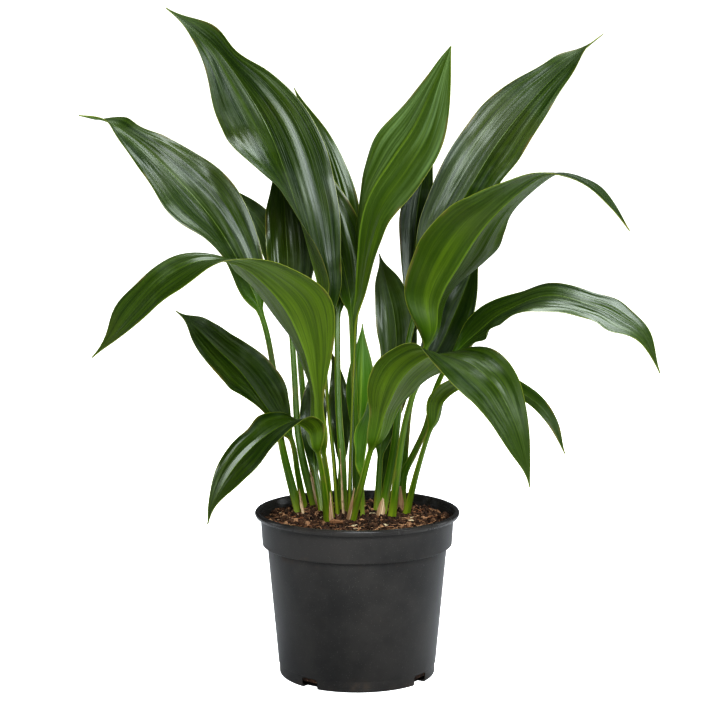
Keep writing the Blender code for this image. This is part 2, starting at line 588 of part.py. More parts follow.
def build_sheath(name, leaf, facing, reach, height):
    """A papery scale that wraps part of a stalk's foot and ends in a point."""
    bm = bmesh.new()
    bmesh.ops.create_grid(bm, x_segments=SHEATH_AROUND, y_segments=SHEATH_UP, size=0.5)
    bmesh.ops.triangulate(bm, faces=bm.faces[:], quad_method="FIXED")
    inner = bm.verts[:]
    grown = bmesh.ops.extrude_face_region(bm, geom=bm.faces[:], use_keep_orig=True)
    outer = [part for part in grown["geom"] if isinstance(part, bmesh.types.BMVert)]
    for side_verts, radius in ((inner, STALK_FOOT_HALF + GAP), (outer, STALK_FOOT_HALF + GAP + SHEATH)):
        for vert in side_verts:
            around = 2 * vert.co.x
            up = vert.co.y + 0.5
            angle = math.radians(facing + reach / 2 * around)
            top = height * (1 - 0.75 * abs(around) ** 1.5)
            vert.co = Vector((radius * math.sin(angle), -radius * math.cos(angle),
                              (top + SHEATH_BURIED) * up - SHEATH_BURIED)) * MM
    bmesh.ops.triangulate(bm, faces=[face for face in bm.faces if len(face.verts) > 3])
    bmesh.ops.transform(bm, matrix=foot_frame(leaf), verts=bm.verts)
    bmesh.ops.recalc_face_normals(bm, faces=bm.faces[:])
    return make_object(name, bm, make_material(name, SHEATH_TAN, 0.8))


def build():
    """Model the whole plant."""
    clear_scene()
    build_pot()
    build_soil()
    for name, leaf in LEAVES.items():
        build_leaf(name, leaf)
    for name, (leaf_name, facing, reach, height) in SHEATHS.items():
        build_sheath(name, LEAVES[leaf_name], facing, reach, height)


build()
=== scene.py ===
# %% [markdown]
# # A potted cast iron plant
# A cast iron plant (Aspidistra elatior) has no trunk. Each leaf is one long piece: a channelled
# stalk that comes straight out of the potting mix and widens into a tough, pleated blade. This
# notebook dresses the plant's solid parts: it makes finer leaves, a nursery pot, loose potting mix
# and papery bud sheaths, and gives each one a material made of nodes.
#
# The solid parts come first, because every fine piece has to stand exactly where its solid stands.

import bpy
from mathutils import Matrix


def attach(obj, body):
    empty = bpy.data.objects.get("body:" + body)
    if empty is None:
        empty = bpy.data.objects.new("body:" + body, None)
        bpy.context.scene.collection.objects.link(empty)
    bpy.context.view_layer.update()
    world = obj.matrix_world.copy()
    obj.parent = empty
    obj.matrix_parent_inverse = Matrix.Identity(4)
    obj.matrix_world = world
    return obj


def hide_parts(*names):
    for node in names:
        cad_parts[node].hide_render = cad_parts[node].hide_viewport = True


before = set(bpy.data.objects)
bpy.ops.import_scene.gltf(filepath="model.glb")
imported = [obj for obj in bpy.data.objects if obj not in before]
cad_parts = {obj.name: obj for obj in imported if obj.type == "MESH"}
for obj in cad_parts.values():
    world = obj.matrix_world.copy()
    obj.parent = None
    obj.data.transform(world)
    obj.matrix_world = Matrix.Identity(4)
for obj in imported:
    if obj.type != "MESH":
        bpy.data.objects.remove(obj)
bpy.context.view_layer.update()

# %% The modules, the unit and two small tools
import math
import random
from typing import NamedTuple

import bmesh
import bpy
from mathutils import Matrix, Vector, noise

MM = 0.001


def link_object(name, data):
    """A new object in the scene."""
    made = bpy.data.objects.new(name, data)
    bpy.context.scene.collection.objects.link(made)
    return made


def mesh_from(name, bm):
    """A mesh with a bmesh's faces; the bmesh is thrown away."""
    mesh = bpy.data.meshes.new(name)
    bm.to_mesh(mesh)
    bm.free()
    return mesh


print("1 mm is", MM, "m")

# %% [markdown]
# ## Camera
# The plant is looked at from a little above its middle, from nearly two metres away and through a
# long lens, so that the near leaves aren't much larger than the far ones.

# %% Camera
CAMERA_PLACE = (0.0026, -1.825, 0.533)
LOOKS_DOWN = 7.45            # degrees below level
LENS, FILM_WIDTH = 100, 36   # mm


def place_camera():
    """A long lens in front of the plant, tipped down a little."""
    data = bpy.data.cameras.new("camera")
    data.lens = LENS
    data.sensor_width = FILM_WIDTH
    camera = link_object("camera", data)
    camera.location = CAMERA_PLACE
    camera.rotation_euler = (math.radians(90 - LOOKS_DOWN), 0, 0)
    bpy.context.scene.camera = camera
    return camera


camera = place_camera()
print("camera at", tuple(camera.location))

# %% [markdown]
# ## Light
# Soft light needs large lamps, because a small one gives hard, dark shadows between the leaves. The
# main lamp stands high in front and puts a cool shine on the blades that face it. A weak one at
# the right fills in the far side, and one above the plant draws the edges of the arched leaves.
# Two tall strips stand beside the pot, a little behind it, so that its dark wall shows a soft band
# at each side.
#
# The surroundings are white to the camera and much dimmer to the plant, which keeps the greens
# deep. The high contrast look does the same for the dark gaps between the stalks.

# %% Lamps and surroundings
class Lamp(NamedTuple):
    """A soft lamp: its place, its width and height, its power and the point it is turned to."""

    place: tuple
    size: tuple
    power: float
    aim: tuple = (0, 0, 0.36)


LAMPS = {
    "front_lamp": Lamp((0.15, -2.10, 1.65), (1.5, 1.1), 64),
    "right_lamp": Lamp((1.55, -1.10, 0.95), (0.7, 0.7), 6),
    "top_lamp": Lamp((0.40, 0.50, 2.10), (1.1, 1.1), 32),
    "left_strip": Lamp((-1.50, 0.35, 0.35), (0.35, 1.3), 5, aim=(0, 0, 0.10)),
    "right_strip": Lamp((1.50, 0.50, 0.35), (0.35, 1.3), 5, aim=(0, 0, 0.10)),
}
LAMP_COLOUR = (0.90, 0.95, 1.0)
BACKDROP_COLOUR, BACKDROP_STRENGTH = (1, 1, 1, 1), 1.05
AMBIENT_COLOUR, AMBIENT_STRENGTH = (0.93, 0.96, 1, 1), 0.10


def add_lamp(name, lamp):
    """Place one lamp and turn it to its point."""
    data = bpy.data.lights.new(name, "AREA")
    data.shape = "RECTANGLE"
    data.size, data.size_y = lamp.size
    data.energy = lamp.power
    data.color = LAMP_COLOUR
    made = link_object(name, data)
    made.location = lamp.place
    heading = Vector(lamp.aim) - Vector(lamp.place)
    made.rotation_euler = heading.to_track_quat("-Z", "Y").to_euler()


def light_surroundings():
    """White behind the plant, with a dimmer, even light from all round."""
    world = bpy.data.worlds.new("studio")
    world.use_nodes = True
    bpy.context.scene.world = world
    tree = world.node_tree
    tree.nodes.clear()
    path = tree.nodes.new("ShaderNodeLightPath")
    choose = tree.nodes.new("ShaderNodeMixShader")
    out = tree.nodes.new("ShaderNodeOutputWorld")
    tree.links.new(path.outputs["Is Camera Ray"], choose.inputs["Fac"])
    tree.links.new(choose.outputs[0], out.inputs["Surface"])
    sources = ((AMBIENT_COLOUR, AMBIENT_STRENGTH), (BACKDROP_COLOUR, BACKDROP_STRENGTH))
    for number, (colour, strength) in enumerate(sources, start=1):
        source = tree.nodes.new("ShaderNodeBackground")
        source.inputs["Color"].default_value = colour
        source.inputs["Strength"].default_value = strength
        tree.links.new(source.outputs[0], choose.inputs[number])


for name, lamp in LAMPS.items():
    add_lamp(name, lamp)
light_surroundings()
bpy.context.scene.view_settings.view_transform = "Standard"
bpy.context.scene.view_settings.look = "High Contrast"
print(len(LAMPS), "lamps and white surroundings")

# %% [markdown]
# ## Building blocks for materials
# Every finish below is drawn by nodes that read a place on the surface. Written out one by one
# they'd fill pages, so a small helper adds a node and fills its sockets, from numbers or from
# other nodes.

# %% A helper for node trees
class Board:
    """A node tree, with short ways to add the nodes that the finishes use."""

    def __init__(self, tree):
        self.tree = tree

    def add(self, kind, values=None, **settings):
        """Add a node, set its properties, and fill its sockets from numbers or other nodes."""
        made = self.tree.nodes.new(kind)
        for name, value in settings.items():
            setattr(made, name, value)
        for name, value in (values or {}).items():
            self.feed(made.inputs[name], value)
        return made

    def feed(self, socket, value):
        """Join a node's output to a socket, or set the socket's own value."""
        if isinstance(value, bpy.types.Node):
            value = value.outputs[0]
        if isinstance(value, bpy.types.NodeSocket):
            self.tree.links.new(value, socket)
        elif isinstance(value, tuple) and socket.type == "RGBA":
            socket.default_value = (*value, 1)
        else:
            socket.default_value = value

    def number(self, name):
        """A number stored at each point of the mesh."""
        return self.add("ShaderNodeAttribute", attribute_name=name).outputs["Fac"]

    def place(self):
        """The point on the object, in metres."""
        return self.add("ShaderNodeTexCoord").outputs["Object"]

    def math(self, operation, first, second=0.0, clamp=False):
        """One sum on two numbers."""
        return self.add("ShaderNodeMath", {0: first, 1: second}, operation=operation,
                        use_clamp=clamp).outputs[0]

    def plus(self, first, second, clamp=False):
        """The sum of two numbers."""
        return self.math("ADD", first, second, clamp)

    def minus(self, first, second, clamp=False):
        """The first number less the second."""
        return self.math("SUBTRACT", first, second, clamp)

    def times(self, *factors):
        """The product of two or more numbers."""
        product = factors[0]
        for factor in factors[1:]:
            product = self.math("MULTIPLY", product, factor)
        return product

    def raised(self, base, *shares):
        """A base number with more added: pairs of another number and the share of it."""
        for value, share in shares:
            base = self.plus(base, self.times(value, share))
        return base

    def point(self, x, y, z):
        """Three numbers as one point."""
        return self.add("ShaderNodeCombineXYZ", {0: x, 1: y, 2: z}).outputs[0]

    def noise(self, vector, scale, detail=3.0, roughness=0.55):
        """Cloudy noise from 0 to 1."""
        values = {"Vector": vector, "Scale": scale, "Detail": detail, "Roughness": roughness}
        return self.add("ShaderNodeTexNoise", values).outputs["Fac"]

    def between(self, value, low, high):
        """0 below low, 1 above high and a smooth rise between; the reverse if low is larger."""
        values = {"Value": value, "From Min": low, "From Max": high}
        return self.add("ShaderNodeMapRange", values, interpolation_type="SMOOTHSTEP").outputs[0]

    def blend(self, amount, first, second):
        """Mix two colours by an amount."""
        values = {0: amount, 6: first, 7: second}
        return self.add("ShaderNodeMix", values, data_type="RGBA", blend_type="MIX").outputs[2]

    def tint(self, colour, other, mask, strength):
        """Turn a colour towards another one where a mask is 1, by a strength."""
        return self.blend(self.times(mask, strength), colour, other)

    def bump(self, height, strength, distance):
        """A surface normal tilted by a height, in metres."""
        values = {"Height": height, "Strength": strength, "Distance": distance}
        return self.add("ShaderNodeBump", values)


class Finish(Board):
    """A material, drawn on a board that can also fill its Principled shader."""

    def __init__(self, name, specular):
        self.material = bpy.data.materials.new(name)
        self.material.use_nodes = True
        super().__init__(self.material.node_tree)
        self.shader = self.tree.nodes["Principled BSDF"]
        self.shader.inputs["Specular IOR Level"].default_value = specular

    def wear(self, **sockets):
        """Fill the shader's sockets, named with _ for a space, and give the material."""
        for name, value in sockets.items():
            self.feed(self.shader.inputs[name.replace("_", " ").title()], value)
        return self.material


print("helpers ready")

# %% [markdown]
# ## Floor
# One large pale sheet is enough: it takes the pot's soft shadow and fades into the white
# surroundings. To the camera it glows as well, or its far end would be grey.

# %% Floor
FLOOR_SIZE = 30
FLOOR_WHITE = (0.80, 0.80, 0.80)
FLOOR_GLOW = 0.97


def build_floor():
    """A wide white floor."""
    bm = bmesh.new()
    bmesh.ops.create_grid(bm, x_segments=1, y_segments=1, size=FLOOR_SIZE)
    mesh = mesh_from("floor", bm)
    paint = Finish("floor_paint", specular=0.5)
    seen = paint.add("ShaderNodeLightPath").outputs["Is Camera Ray"]
    glow = paint.times(seen, FLOOR_GLOW)
    mesh.materials.append(paint.wear(base_color=FLOOR_WHITE, roughness=0.9,
                                     emission_color=(1, 1, 1), emission_strength=glow))
    link_object("floor", mesh)


build_floor()
print("floor laid")

# %% [markdown]
# ## Shared patterns
# Two patterns are used by more than one finish, so each is built once as a node group. Blades and
# papery sheaths both have streaks and veins that run from end to end. The pot, the potting mix and
# the dust on the leaves all carry fine pale specks.

# %% Pattern: streaks and veins that run along a leaf
# For each: how often it changes across the leaf and per metre along it, its detail and roughness.
LENGTHWISE = {
    "Broad": (3.2, 6.0, 2.0, 0.55),
    "Streaks": (12.0, 8.0, 1.5, 0.45),
    "Fibres": (34.0, 16.0, 1.0, 0.5),
    "Veins": (14.0, 3.0, 1.0, 0.5),
}
VEIN_WIDTH = 0.05
SEED_STEP = 40.0   # sets the leaves far apart in the noise, so that no two are alike


def open_group(name, inputs, outputs):
    """A node group with named number sockets, its board, and its two end nodes."""
    tree = bpy.data.node_groups.new(name, "ShaderNodeTree")
    for way, labels in (("INPUT", inputs), ("OUTPUT", outputs)):
        for label in labels:
            tree.interface.new_socket(label, in_out=way, socket_type="NodeSocketFloat")
    board = Board(tree)
    return tree, board, board.add("NodeGroupInput"), board.add("NodeGroupOutput")


def build_vein_group():
    """Streaks and veins that keep to a leaf's length and close up towards its tip."""
    group, board, given, result = open_group("lengthwise_veins", ("Across", "Distance", "Seed"),
                                             LENGTHWISE)
    across, distance, seed = (given.outputs[name] for name in ("Across", "Distance", "Seed"))
    shift = board.times(seed, SEED_STEP)
    for name, (cross_rate, long_rate, detail, roughness) in LENGTHWISE.items():
        place = board.point(board.times(across, cross_rate), board.times(distance, long_rate),
                            shift)
        pattern = board.noise(place, 1.0, detail, roughness)
        if name == "Veins":
            off_line = board.math("ABSOLUTE", board.minus(pattern, 0.5))
            pattern = board.between(off_line, VEIN_WIDTH, 0.0)
        board.feed(result.inputs[name], pattern)
    return group


vein_group = build_vein_group()
print("group", vein_group.name)

# %% Pattern: fine pale specks
RARE = 0.72   # share of the cells that stay without a speck


def build_speck_group():
    """Small round specks: a Scale for how close they lie and a Size for how large they are."""
    group, board, given, result = open_group("fine_specks", ("Scale", "Size"), ("Specks",))
    values = {"Vector": board.place(), "Scale": given.outputs["Scale"]}
    cells = board.add("ShaderNodeTexVoronoi", values)
    spot = board.math("LESS_THAN", cells.outputs["Distance"], given.outputs["Size"])
    draw = board.add("ShaderNodeSeparateColor", {"Color": cells.outputs["Color"]}).outputs[0]
    board.feed(result.inputs["Specks"], board.times(spot, board.math("GREATER_THAN", draw, RARE)))
    return group


speck_group = build_speck_group()


def lengthwise(finish):
    """The vein pattern, fed with what the points of a leaf or a sheath have stored."""
    given = {"Across": finish.number("across"), "Distance": finish.number("distance"),
             "Seed": finish.number("seed")}
    return finish.add("ShaderNodeGroup", given, node_tree=vein_group).outputs


def specks(finish, scale, size):
    """The speck pattern."""
    return finish.add("ShaderNodeGroup", {"Scale": scale, "Size": size}, node_tree=speck_group)


print("group", speck_group.name)

# %% [markdown]
# ## The leaves' plan
# A leaf of this plant can be drawn from very little: the line of its midrib through space, how
# wide the blade is, which way its upper face looks along the way, and how far its two halves fold
# up. Each entry below is one leaf of the solid plant, in millimetres, and the same plan drives its
# finer copy. That is why the copy keeps the solid's place and bearing.

# %% The plan of one leaf
class Leaf(NamedTuple):
    """One leaf, from its foot at the soil to its tip."""

    spine: list              # points along the midrib; the first is where the stalk leaves the soil
    blade_from: int          # number of the spine's point where the blade begins
    width: float             # of the blade, laid flat
    faces: list              # where the upper face looks, evenly spaced from blade's start to tip
    fold: tuple = (40, 12, 14)   # degrees that each half stands up, evenly spaced in the same way
    widest: float = 0.42     # how far along the blade it is widest
    wave: tuple = (2.5, 2.2, 0.0)   # the edge's ripple: height, number of waves, phase in turns
    twist: float = 0.0       # degrees that the tip turns about its midrib
    edges: tuple = ((1, 1), (1, 1))   # each half's width against the plain outline, evenly spaced
                                      # from the blade's start to its tip; seen from above with the
                                      # tip up, the left half comes first
    young: bool = False      # whether it is fresher and brighter than the rest


LEAVES = {
    # The left side, from the tallest down.
    "leaf_tall_left": Leaf(
        spine=[(-17, 17, 145), (-21, 19, 198), (-27, 24, 254), (-30, 32, 305), (-34, 42, 350),
               (-44, 52, 388), (-59, 62, 438), (-86, 82, 508), (-125, 100, 568), (-154, 108, 597),
               (-183, 112, 619)],
        blade_from=3, width=82, fold=(50, 60, 40, 14, 14, 14), widest=0.46, twist=50,
        faces=[(1, -0.2, 0.1), (0.8, -0.65, 0.1), (0.6, -0.8, 0.15), (0, -1, 0.2), (-0.2, -1, 0.3),
               (-0.5, -1, 0.3)],
        edges=((1, 1, 1, 1, 1, 1.05, 1.1, 1.2, 1.05, 1, 1),
               (1, 1, 1, 1, 1, 1.05, 1.05, 0.95, 0.7, 1.4, 1))),
    "leaf_wide_left": Leaf(
        spine=[(-55, 30, 145), (-72, 40, 213), (-80, 48, 285), (-92, 53, 335), (-120, 62, 394),
               (-151, 76, 436), (-198, 90, 483), (-233, 100, 508), (-250, 100, 514),
               (-266, 100, 517)],
        blade_from=3, width=66, faces=[(0.4, -1, 0.3), (0.3, -1, 0.4), (0.1, -1, 0.5)],
        widest=0.40, twist=120,
        edges=((1, 1, 0.6, 0.65, 0.95, 1.05, 1, 1, 1, 1, 1),
               (1, 1, 1, 1, 1.05, 1.1, 1.1, 1.05, 1, 2, 1))),
    "leaf_arched_left": Leaf(
        spine=[(-24, 6, 145), (-27, 0, 182), (-31, -8, 212), (-40, -30, 276), (-48, -44, 312),
               (-64, -58, 349), (-90, -74, 380), (-114, -88, 393), (-140, -100, 393),
               (-168, -110, 378), (-194, -114, 350), (-212, -114, 328), (-229, -112, 311)],
        blade_from=2, width=86, fold=(50, 35, 12, 2, 8),
        faces=[(0.6, 0.8, 0.2), (0.6, 0.75, 0.3), (0.25, 0.35, 0.9), (-0.3, -0.6, 0.8),
               (-0.5, -0.9, 0.3)],
        edges=((1, 0.3, 0.45, 0.8, 1.1, 0.9, 0.7, 1, 1.1, 1.4, 1),
               (1, 1, 1.35, 1.5, 1.45, 1.1, 0.55, 0.75, 1, 1.9, 1))),
    "leaf_short_left": Leaf(
        spine=[(-50, 44, 145), (-56, 42, 179), (-63, 38, 216), (-84, 30, 244), (-108, 20, 280),
               (-131, 14, 304), (-151, 10, 325), (-167, 8, 339)],
        blade_from=2, width=50, faces=[(0.5, -0.8, 0.5), (0.3, -0.8, 0.5), (0.2, -1, 0.4)],
        twist=40,
        edges=((1, 0.8, 0.5, 0.5, 0.7, 1, 1.05, 1.1, 1.3, 1.5, 1),
               (1, 1.1, 1.25, 1.2, 1.1, 1.05, 1.05, 1.15, 1.4, 1.8, 1))),
    "leaf_drooping_left": Leaf(
        spine=[(-27, -8, 145), (-31, -20, 186), (-36, -34, 216), (-44, -50, 237), (-58, -64, 247),
               (-77, -78, 240), (-94, -88, 227), (-112, -97, 206), (-126, -104, 181),
               (-131, -106, 163)],
        blade_from=2, width=46,
        faces=[(0.5, 0.8, 0.3), (0.3, 0.1, 1), (-0.3, -0.9, 0.6), (-0.5, -0.9, 0.3)],
        edges=((1, 1, 1, 1, 0.9, 1, 1.2, 1.2, 1.2, 1, 1),
               (1, 1, 0.5, 0.7, 0.85, 0.7, 0.85, 0.95, 1, 1, 1))),
    # The right side, from the tallest down.
    "leaf_tall_right": Leaf(
        spine=[(23, 20, 145), (34, 30, 203), (39, 40, 243), (47, 55, 297), (60, 68, 348),
               (79, 85, 399), (101, 98, 436), (136, 118, 491), (177, 138, 539), (218, 152, 577),
               (241, 158, 596)],
        blade_from=4, width=70, faces=[(-0.3, -1, 0.2), (-0.2, -1, 0.3), (0, -1, 0.3)], twist=-90,
        edges=((1, 1, 1, 1, 1, 1, 1.1, 1.15, 1.15, 1.6, 1),
               (1, 1, 1, 0.9, 0.75, 0.85, 0.85, 0.9, 0.95, 1.2, 1))),
    "leaf_arched_right": Leaf(
        spine=[(32, 10, 145), (42, 3, 224), (52, -5, 267), (63, -14, 310), (75, -26, 354),
               (88, -35, 380), (115, -54, 424), (153, -74, 461), (176, -84, 468), (201, -92, 459),
               (219, -98, 442), (235, -102, 420)],
        blade_from=3, width=84, fold=(45, 30, 10, 2, 8),
        faces=[(-0.5, 0.85, 0.2), (-0.5, 0.85, 0.3), (-0.3, 0.4, 0.8), (0, 0, 1),
               (0.5, -0.5, 0.7)],
        edges=((1, 0.8, 1.25, 1.5, 1.05, 0.8, 1, 1, 1, 1, 1),
               (1, 1.35, 1.2, 1.1, 1, 1, 1, 1, 1, 1, 1))),
    "leaf_long_right": Leaf(
        spine=[(42, 44, 145), (44, 48, 177), (54, 52, 198), (66, 54, 225), (74, 52, 259),
               (88, 46, 288), (115, 36, 318), (137, 24, 337), (175, -4, 355), (213, -36, 348),
               (234, -52, 339), (253, -68, 325), (267, -80, 293)],
        blade_from=5, width=62, fold=(40, 8, 0, 5),
        faces=[(0, -0.5, 0.8), (0.1, -0.5, 0.85), (0.4, -0.8, 0.5)],
        edges=((1, 0.9, 0.8, 0.7, 0.75, 0.6, 0.65, 1, 1.05, 1.1, 1),
               (1, 1.2, 1.6, 1.5, 1.6, 1.45, 0.9, 0.95, 1.6, 1.1, 1))),
    "leaf_drooping_right": Leaf(
        spine=[(46, 28, 145), (56, 22, 187), (68, 14, 229), (77, 5, 252), (91, -8, 268),
               (112, -22, 277), (138, -34, 274), (160, -42, 262), (175, -48, 244),
               (187, -52, 216)],
        blade_from=2, width=44, faces=[(-0.5, 0.7, 0.3), (0, -0.2, 1), (0.4, -0.8, 0.6)],
        edges=((1, 1, 1, 1, 1, 0.75, 0.6, 0.7, 0.8, 1, 1),
               (1, 1, 1, 1, 1, 0.9, 0.7, 0.75, 0.9, 1, 1))),
    "leaf_front_arched": Leaf(
        spine=[(-5, -7, 145), (4, -18, 182), (13, -30, 218), (28, -55, 262), (41, -72, 290),
               (60, -92, 309), (78, -106, 312), (98, -122, 307), (116, -135, 293),
               (128, -141, 274), (138, -144, 250), (144, -144, 226), (148, -142, 203)],
        blade_from=2, width=82, fold=(45, 12, 3, 8),
        faces=[(-0.3, 0.9, 0.3), (-0.2, 0.7, 0.7), (0.2, -0.7, 0.8), (0.4, -0.9, 0.3)],
        edges=((1, 1, 1, 1, 0.95, 0.75, 0.8, 0.85, 0.8, 0.8, 1),
               (1, 0.6, 0.75, 0.75, 0.7, 0.9, 1, 1.1, 1.3, 1.6, 1))),
    # The middle.
    "leaf_upright_centre": Leaf(
        spine=[(-6, 17, 145), (-5, 19, 201), (-3, 15, 268), (-1, 12, 315), (0, 7, 366),
               (4, 0, 418), (13, -5, 448), (33, -12, 480), (52, -18, 509), (70, -30, 549),
               (83, -38, 579)],
        blade_from=3, width=63, widest=0.56,
        faces=[(1, -0.2, 0), (0.8, 0.6, 0), (0.5, 1, 0), (0.3, 1, 0)],
        edges=((1, 1, 1, 1, 1, 1, 1.05, 1.1, 1.1, 1.05, 1),
               (1, 1, 1, 0.8, 0.5, 0.7, 0.9, 0.9, 0.8, 0.75, 1))),
    "leaf_young_front": Leaf(
        spine=[(4, 9, 145), (4, 4, 183), (7, 0, 210), (12, -6, 239), (17, -12, 264),
               (24, -20, 290)],
        blade_from=1, width=28, faces=[(-0.8, 0.3, 0), (-0.6, 0.6, 0.2)], young=True),
    "leaf_young_centre": Leaf(
        spine=[(4, 56, 145), (1, 60, 209), (3, 62, 248), (4, 66, 286), (5, 70, 320)],
        blade_from=1, width=28, faces=[(0, 1, 0.1), (0, 1, 0.1)], young=True),
    "leaf_inner_left": Leaf(
        spine=[(-18, 48, 145), (-15, 60, 190), (-16, 70, 227), (-18, 76, 255), (-21, 80, 277),
               (-26, 82, 294)],
        blade_from=1, width=22, faces=[(0, -1, 0), (0, -1, 0)]),
    "leaf_inner_right": Leaf(
        spine=[(19, 34, 145), (22, 44, 199), (27, 54, 232), (33, 62, 269), (37, 69, 302),
               (35, 75, 330), (29, 79, 355), (21, 82, 386)],
        blade_from=1, width=42, faces=[(-0.1, -1, 0.1), (-0.1, -1, 0.1)],
        edges=((1, 0.7, 0.6, 0.6, 0.6, 0.7, 1, 1.3, 1.6, 2, 1),
               (1, 1, 1, 1, 1, 1, 1.15, 1.4, 1.9, 2.4, 1))),
    # Behind, from left to right.
    "leaf_low_left": Leaf(
        spine=[(-33, 36, 145), (-40, 48, 182), (-42, 60, 209), (-42, 70, 237), (-40, 75, 265),
               (-37, 78, 294)],
        blade_from=1, width=26, faces=[(0, -1, 0.1), (0, -1, 0.1)]),
    "leaf_back_left": Leaf(
        spine=[(-40, 54, 145), (-50, 58, 181), (-57, 66, 218), (-60, 76, 265), (-63, 86, 310),
               (-67, 102, 373), (-71, 118, 434), (-71, 126, 464), (-66, 132, 500)],
        blade_from=4, width=56, faces=[(0.1, -1, 0.2), (0.1, -1, 0.2)],
        edges=((1, 0.9, 0.85, 0.8, 0.75, 0.75, 0.8, 0.75, 0.8, 1, 1), (1, 1))),
    "leaf_behind_tall_left": Leaf(
        spine=[(-14, 32, 145), (-14, 36, 188), (-18, 50, 250), (-19, 70, 330), (-19, 92, 398),
               (-25, 104, 444), (-38, 115, 494), (-61, 124, 543)],
        blade_from=3, width=48, faces=[(0, -1, 0.2), (0, -1, 0.2)]),
    "leaf_far_back_left": Leaf(
        spine=[(-34, 66, 145), (-48, 85, 205), (-54, 100, 262), (-60, 115, 319), (-74, 130, 376),
               (-100, 140, 420), (-127, 145, 448)],
        blade_from=3, width=42, faces=[(0.3, -0.7, 0.6), (0.3, -0.7, 0.6)]),
    "leaf_back_centre": Leaf(
        spine=[(0, 40, 145), (-1, 46, 200), (-3, 52, 265), (-6, 60, 334), (-12, 68, 372),
               (-22, 75, 406), (-34, 82, 440), (-47, 88, 475), (-58, 90, 498)],
        blade_from=3, width=52, faces=[(0.3, -1, 0.2), (0, -1, 0.2), (-0.1, -1, 0.2)]),
    "leaf_back_right": Leaf(
        spine=[(22, 64, 145), (32, 75, 217), (43, 88, 283), (52, 100, 340), (55, 110, 387),
               (59, 118, 430), (68, 125, 476), (78, 128, 508)],
        blade_from=2, width=42, faces=[(-0.2, -1, 0.1), (-0.2, -1, 0.1)],
        edges=((1, 0.6, 0.5, 0.45, 0.55, 0.7, 0.9, 1, 1, 1, 1), (1, 1))),
    "leaf_behind_right": Leaf(
        spine=[(36, 58, 145), (44, 62, 180), (50, 70, 238), (60, 76, 265), (80, 82, 298),
               (91, 86, 322), (105, 91, 355), (118, 95, 393)],
        blade_from=3, width=42, faces=[(-0.4, -0.9, 0.2), (-0.4, -0.9, 0.2)]),
}
print(len(LEAVES), "leaves planned")

# %% [markdown]
# ## The midrib
# The midrib is a smooth curve through the plan's points. A Blender curve with a bevel could carry
# the stalk, but a blade needs to know its heading and its upper side at every step, so the curve
# is worked out here.

# %% Midrib
BURIED = 14.0        # how far a stalk goes into the mix
PATH_SAMPLES = 24    # steps of the curve from one point of the spine to the next
HEADING_REACH = 2.0  # how far ahead and behind the heading is read


def smoothstep(value):
    """Ease from 0 to 1 as value goes from 0 to 1."""
    value = min(1.0, max(0.0, value))
    return value * value * (3.0 - 2.0 * value)


def catmull_rom(a, b, c, d, f):
    """The smooth curve that goes from b to c as f goes from 0 to 1, with a before and d after."""
    return 0.5 * (2 * b + (c - a) * f + (2 * a - 5 * b + 4 * c - d) * f ** 2
                  + (3 * b - 3 * c + d - a) * f ** 3)


def spot_in(values, fraction):
    """Where a fraction falls in a list spaced evenly from 0 to 1: an entry, and how far past it."""
    place = min(1.0, max(0.0, fraction)) * (len(values) - 1)
    first = min(int(place), len(values) - 2)
    return first, place - first


def flow(values, fraction):
    """Read a list whose entries are evenly spaced from 0 to 1, in between by a smooth curve."""
    first, f = spot_in(values, fraction)
    before, after = max(0, first - 1), min(len(values) - 1, first + 2)
    return catmull_rom(values[before], values[first], values[first + 1], values[after], f)


def spread(values, fraction):
    """Read a list whose entries are evenly spaced from 0 to 1, in between by a straight line."""
    first, f = spot_in(values, fraction)
    return values[first] + (values[first + 1] - values[first]) * f


def wobble(rates, x, y, z):
    """Smooth noise about 0, whose place changes by the rates as x, y and z change."""
    return noise.noise(Vector((rates[0] * x, rates[1] * y, rates[2] * z)))


def smooth_path(points):
    """Close points along a Catmull-Rom curve through the given ones."""
    ends = [2 * points[0] - points[1], *points, 2 * points[-1] - points[-2]]
    path = [catmull_rom(*four, step / PATH_SAMPLES)
            for four in zip(ends, ends[1:], ends[2:], ends[3:]) for step in range(PATH_SAMPLES)]
    return [*path, points[-1]]


def buried_spine(leaf):
    """The leaf's spine with the straight end of its stalk that stands in the soil."""
    points = [Vector(point) for point in leaf.spine]
    down = (points[0] - points[1]).normalized()
    return [points[0] + down * BURIED, *points]


class Midrib:
    """A leaf's midrib, read by distance from its buried end."""

    def __init__(self, leaf):
        self.path = smooth_path(buried_spine(leaf))
        self.marks = [0.0]
        for here, there in zip(self.path, self.path[1:]):
            self.marks.append(self.marks[-1] + (there - here).length)
        self.length = self.marks[-1]
        self.stalk = self.marks[(leaf.blade_from + 1) * PATH_SAMPLES]

    def at(self, distance):
        """The point at a distance along the midrib."""
        distance = min(self.length, max(0.0, distance))
        last = len(self.path) - 2
        passed = (index for index, mark in enumerate(self.marks[1:]) if mark >= distance)
        index = min(last, next(passed, last))
        span = self.marks[index + 1] - self.marks[index]
        return self.path[index].lerp(self.path[index + 1], (distance - self.marks[index]) / span)

    def heading(self, distance):
        """The way that the midrib runs at a distance along it."""
        ahead, behind = self.at(distance + HEADING_REACH), self.at(distance - HEADING_REACH)
        return (ahead - behind).normalized()


midribs = {name: Midrib(leaf) for name, leaf in LEAVES.items()}
print("longest leaf", round(max(rib.length for rib in midribs.values())), "mm")

# %% [markdown]
# ## The leaf's cross-section
# Low down the section is a half round with a shallow channel on top. Higher up it is a thin blade:
# two halves that stand up from the midrib, each pressed into a few broad pleats and many finer
# ones. The midrib is a groove above and a ridge below. The edge is thinner than the rest and
# ripples slowly, with a little unevenness of its own, as no two edges of a leaf are alike.

# %% Width and section
STALK_HALF, STALK_FOOT_HALF = 2.7, 4.8   # half the stalk's width, high up and at its foot
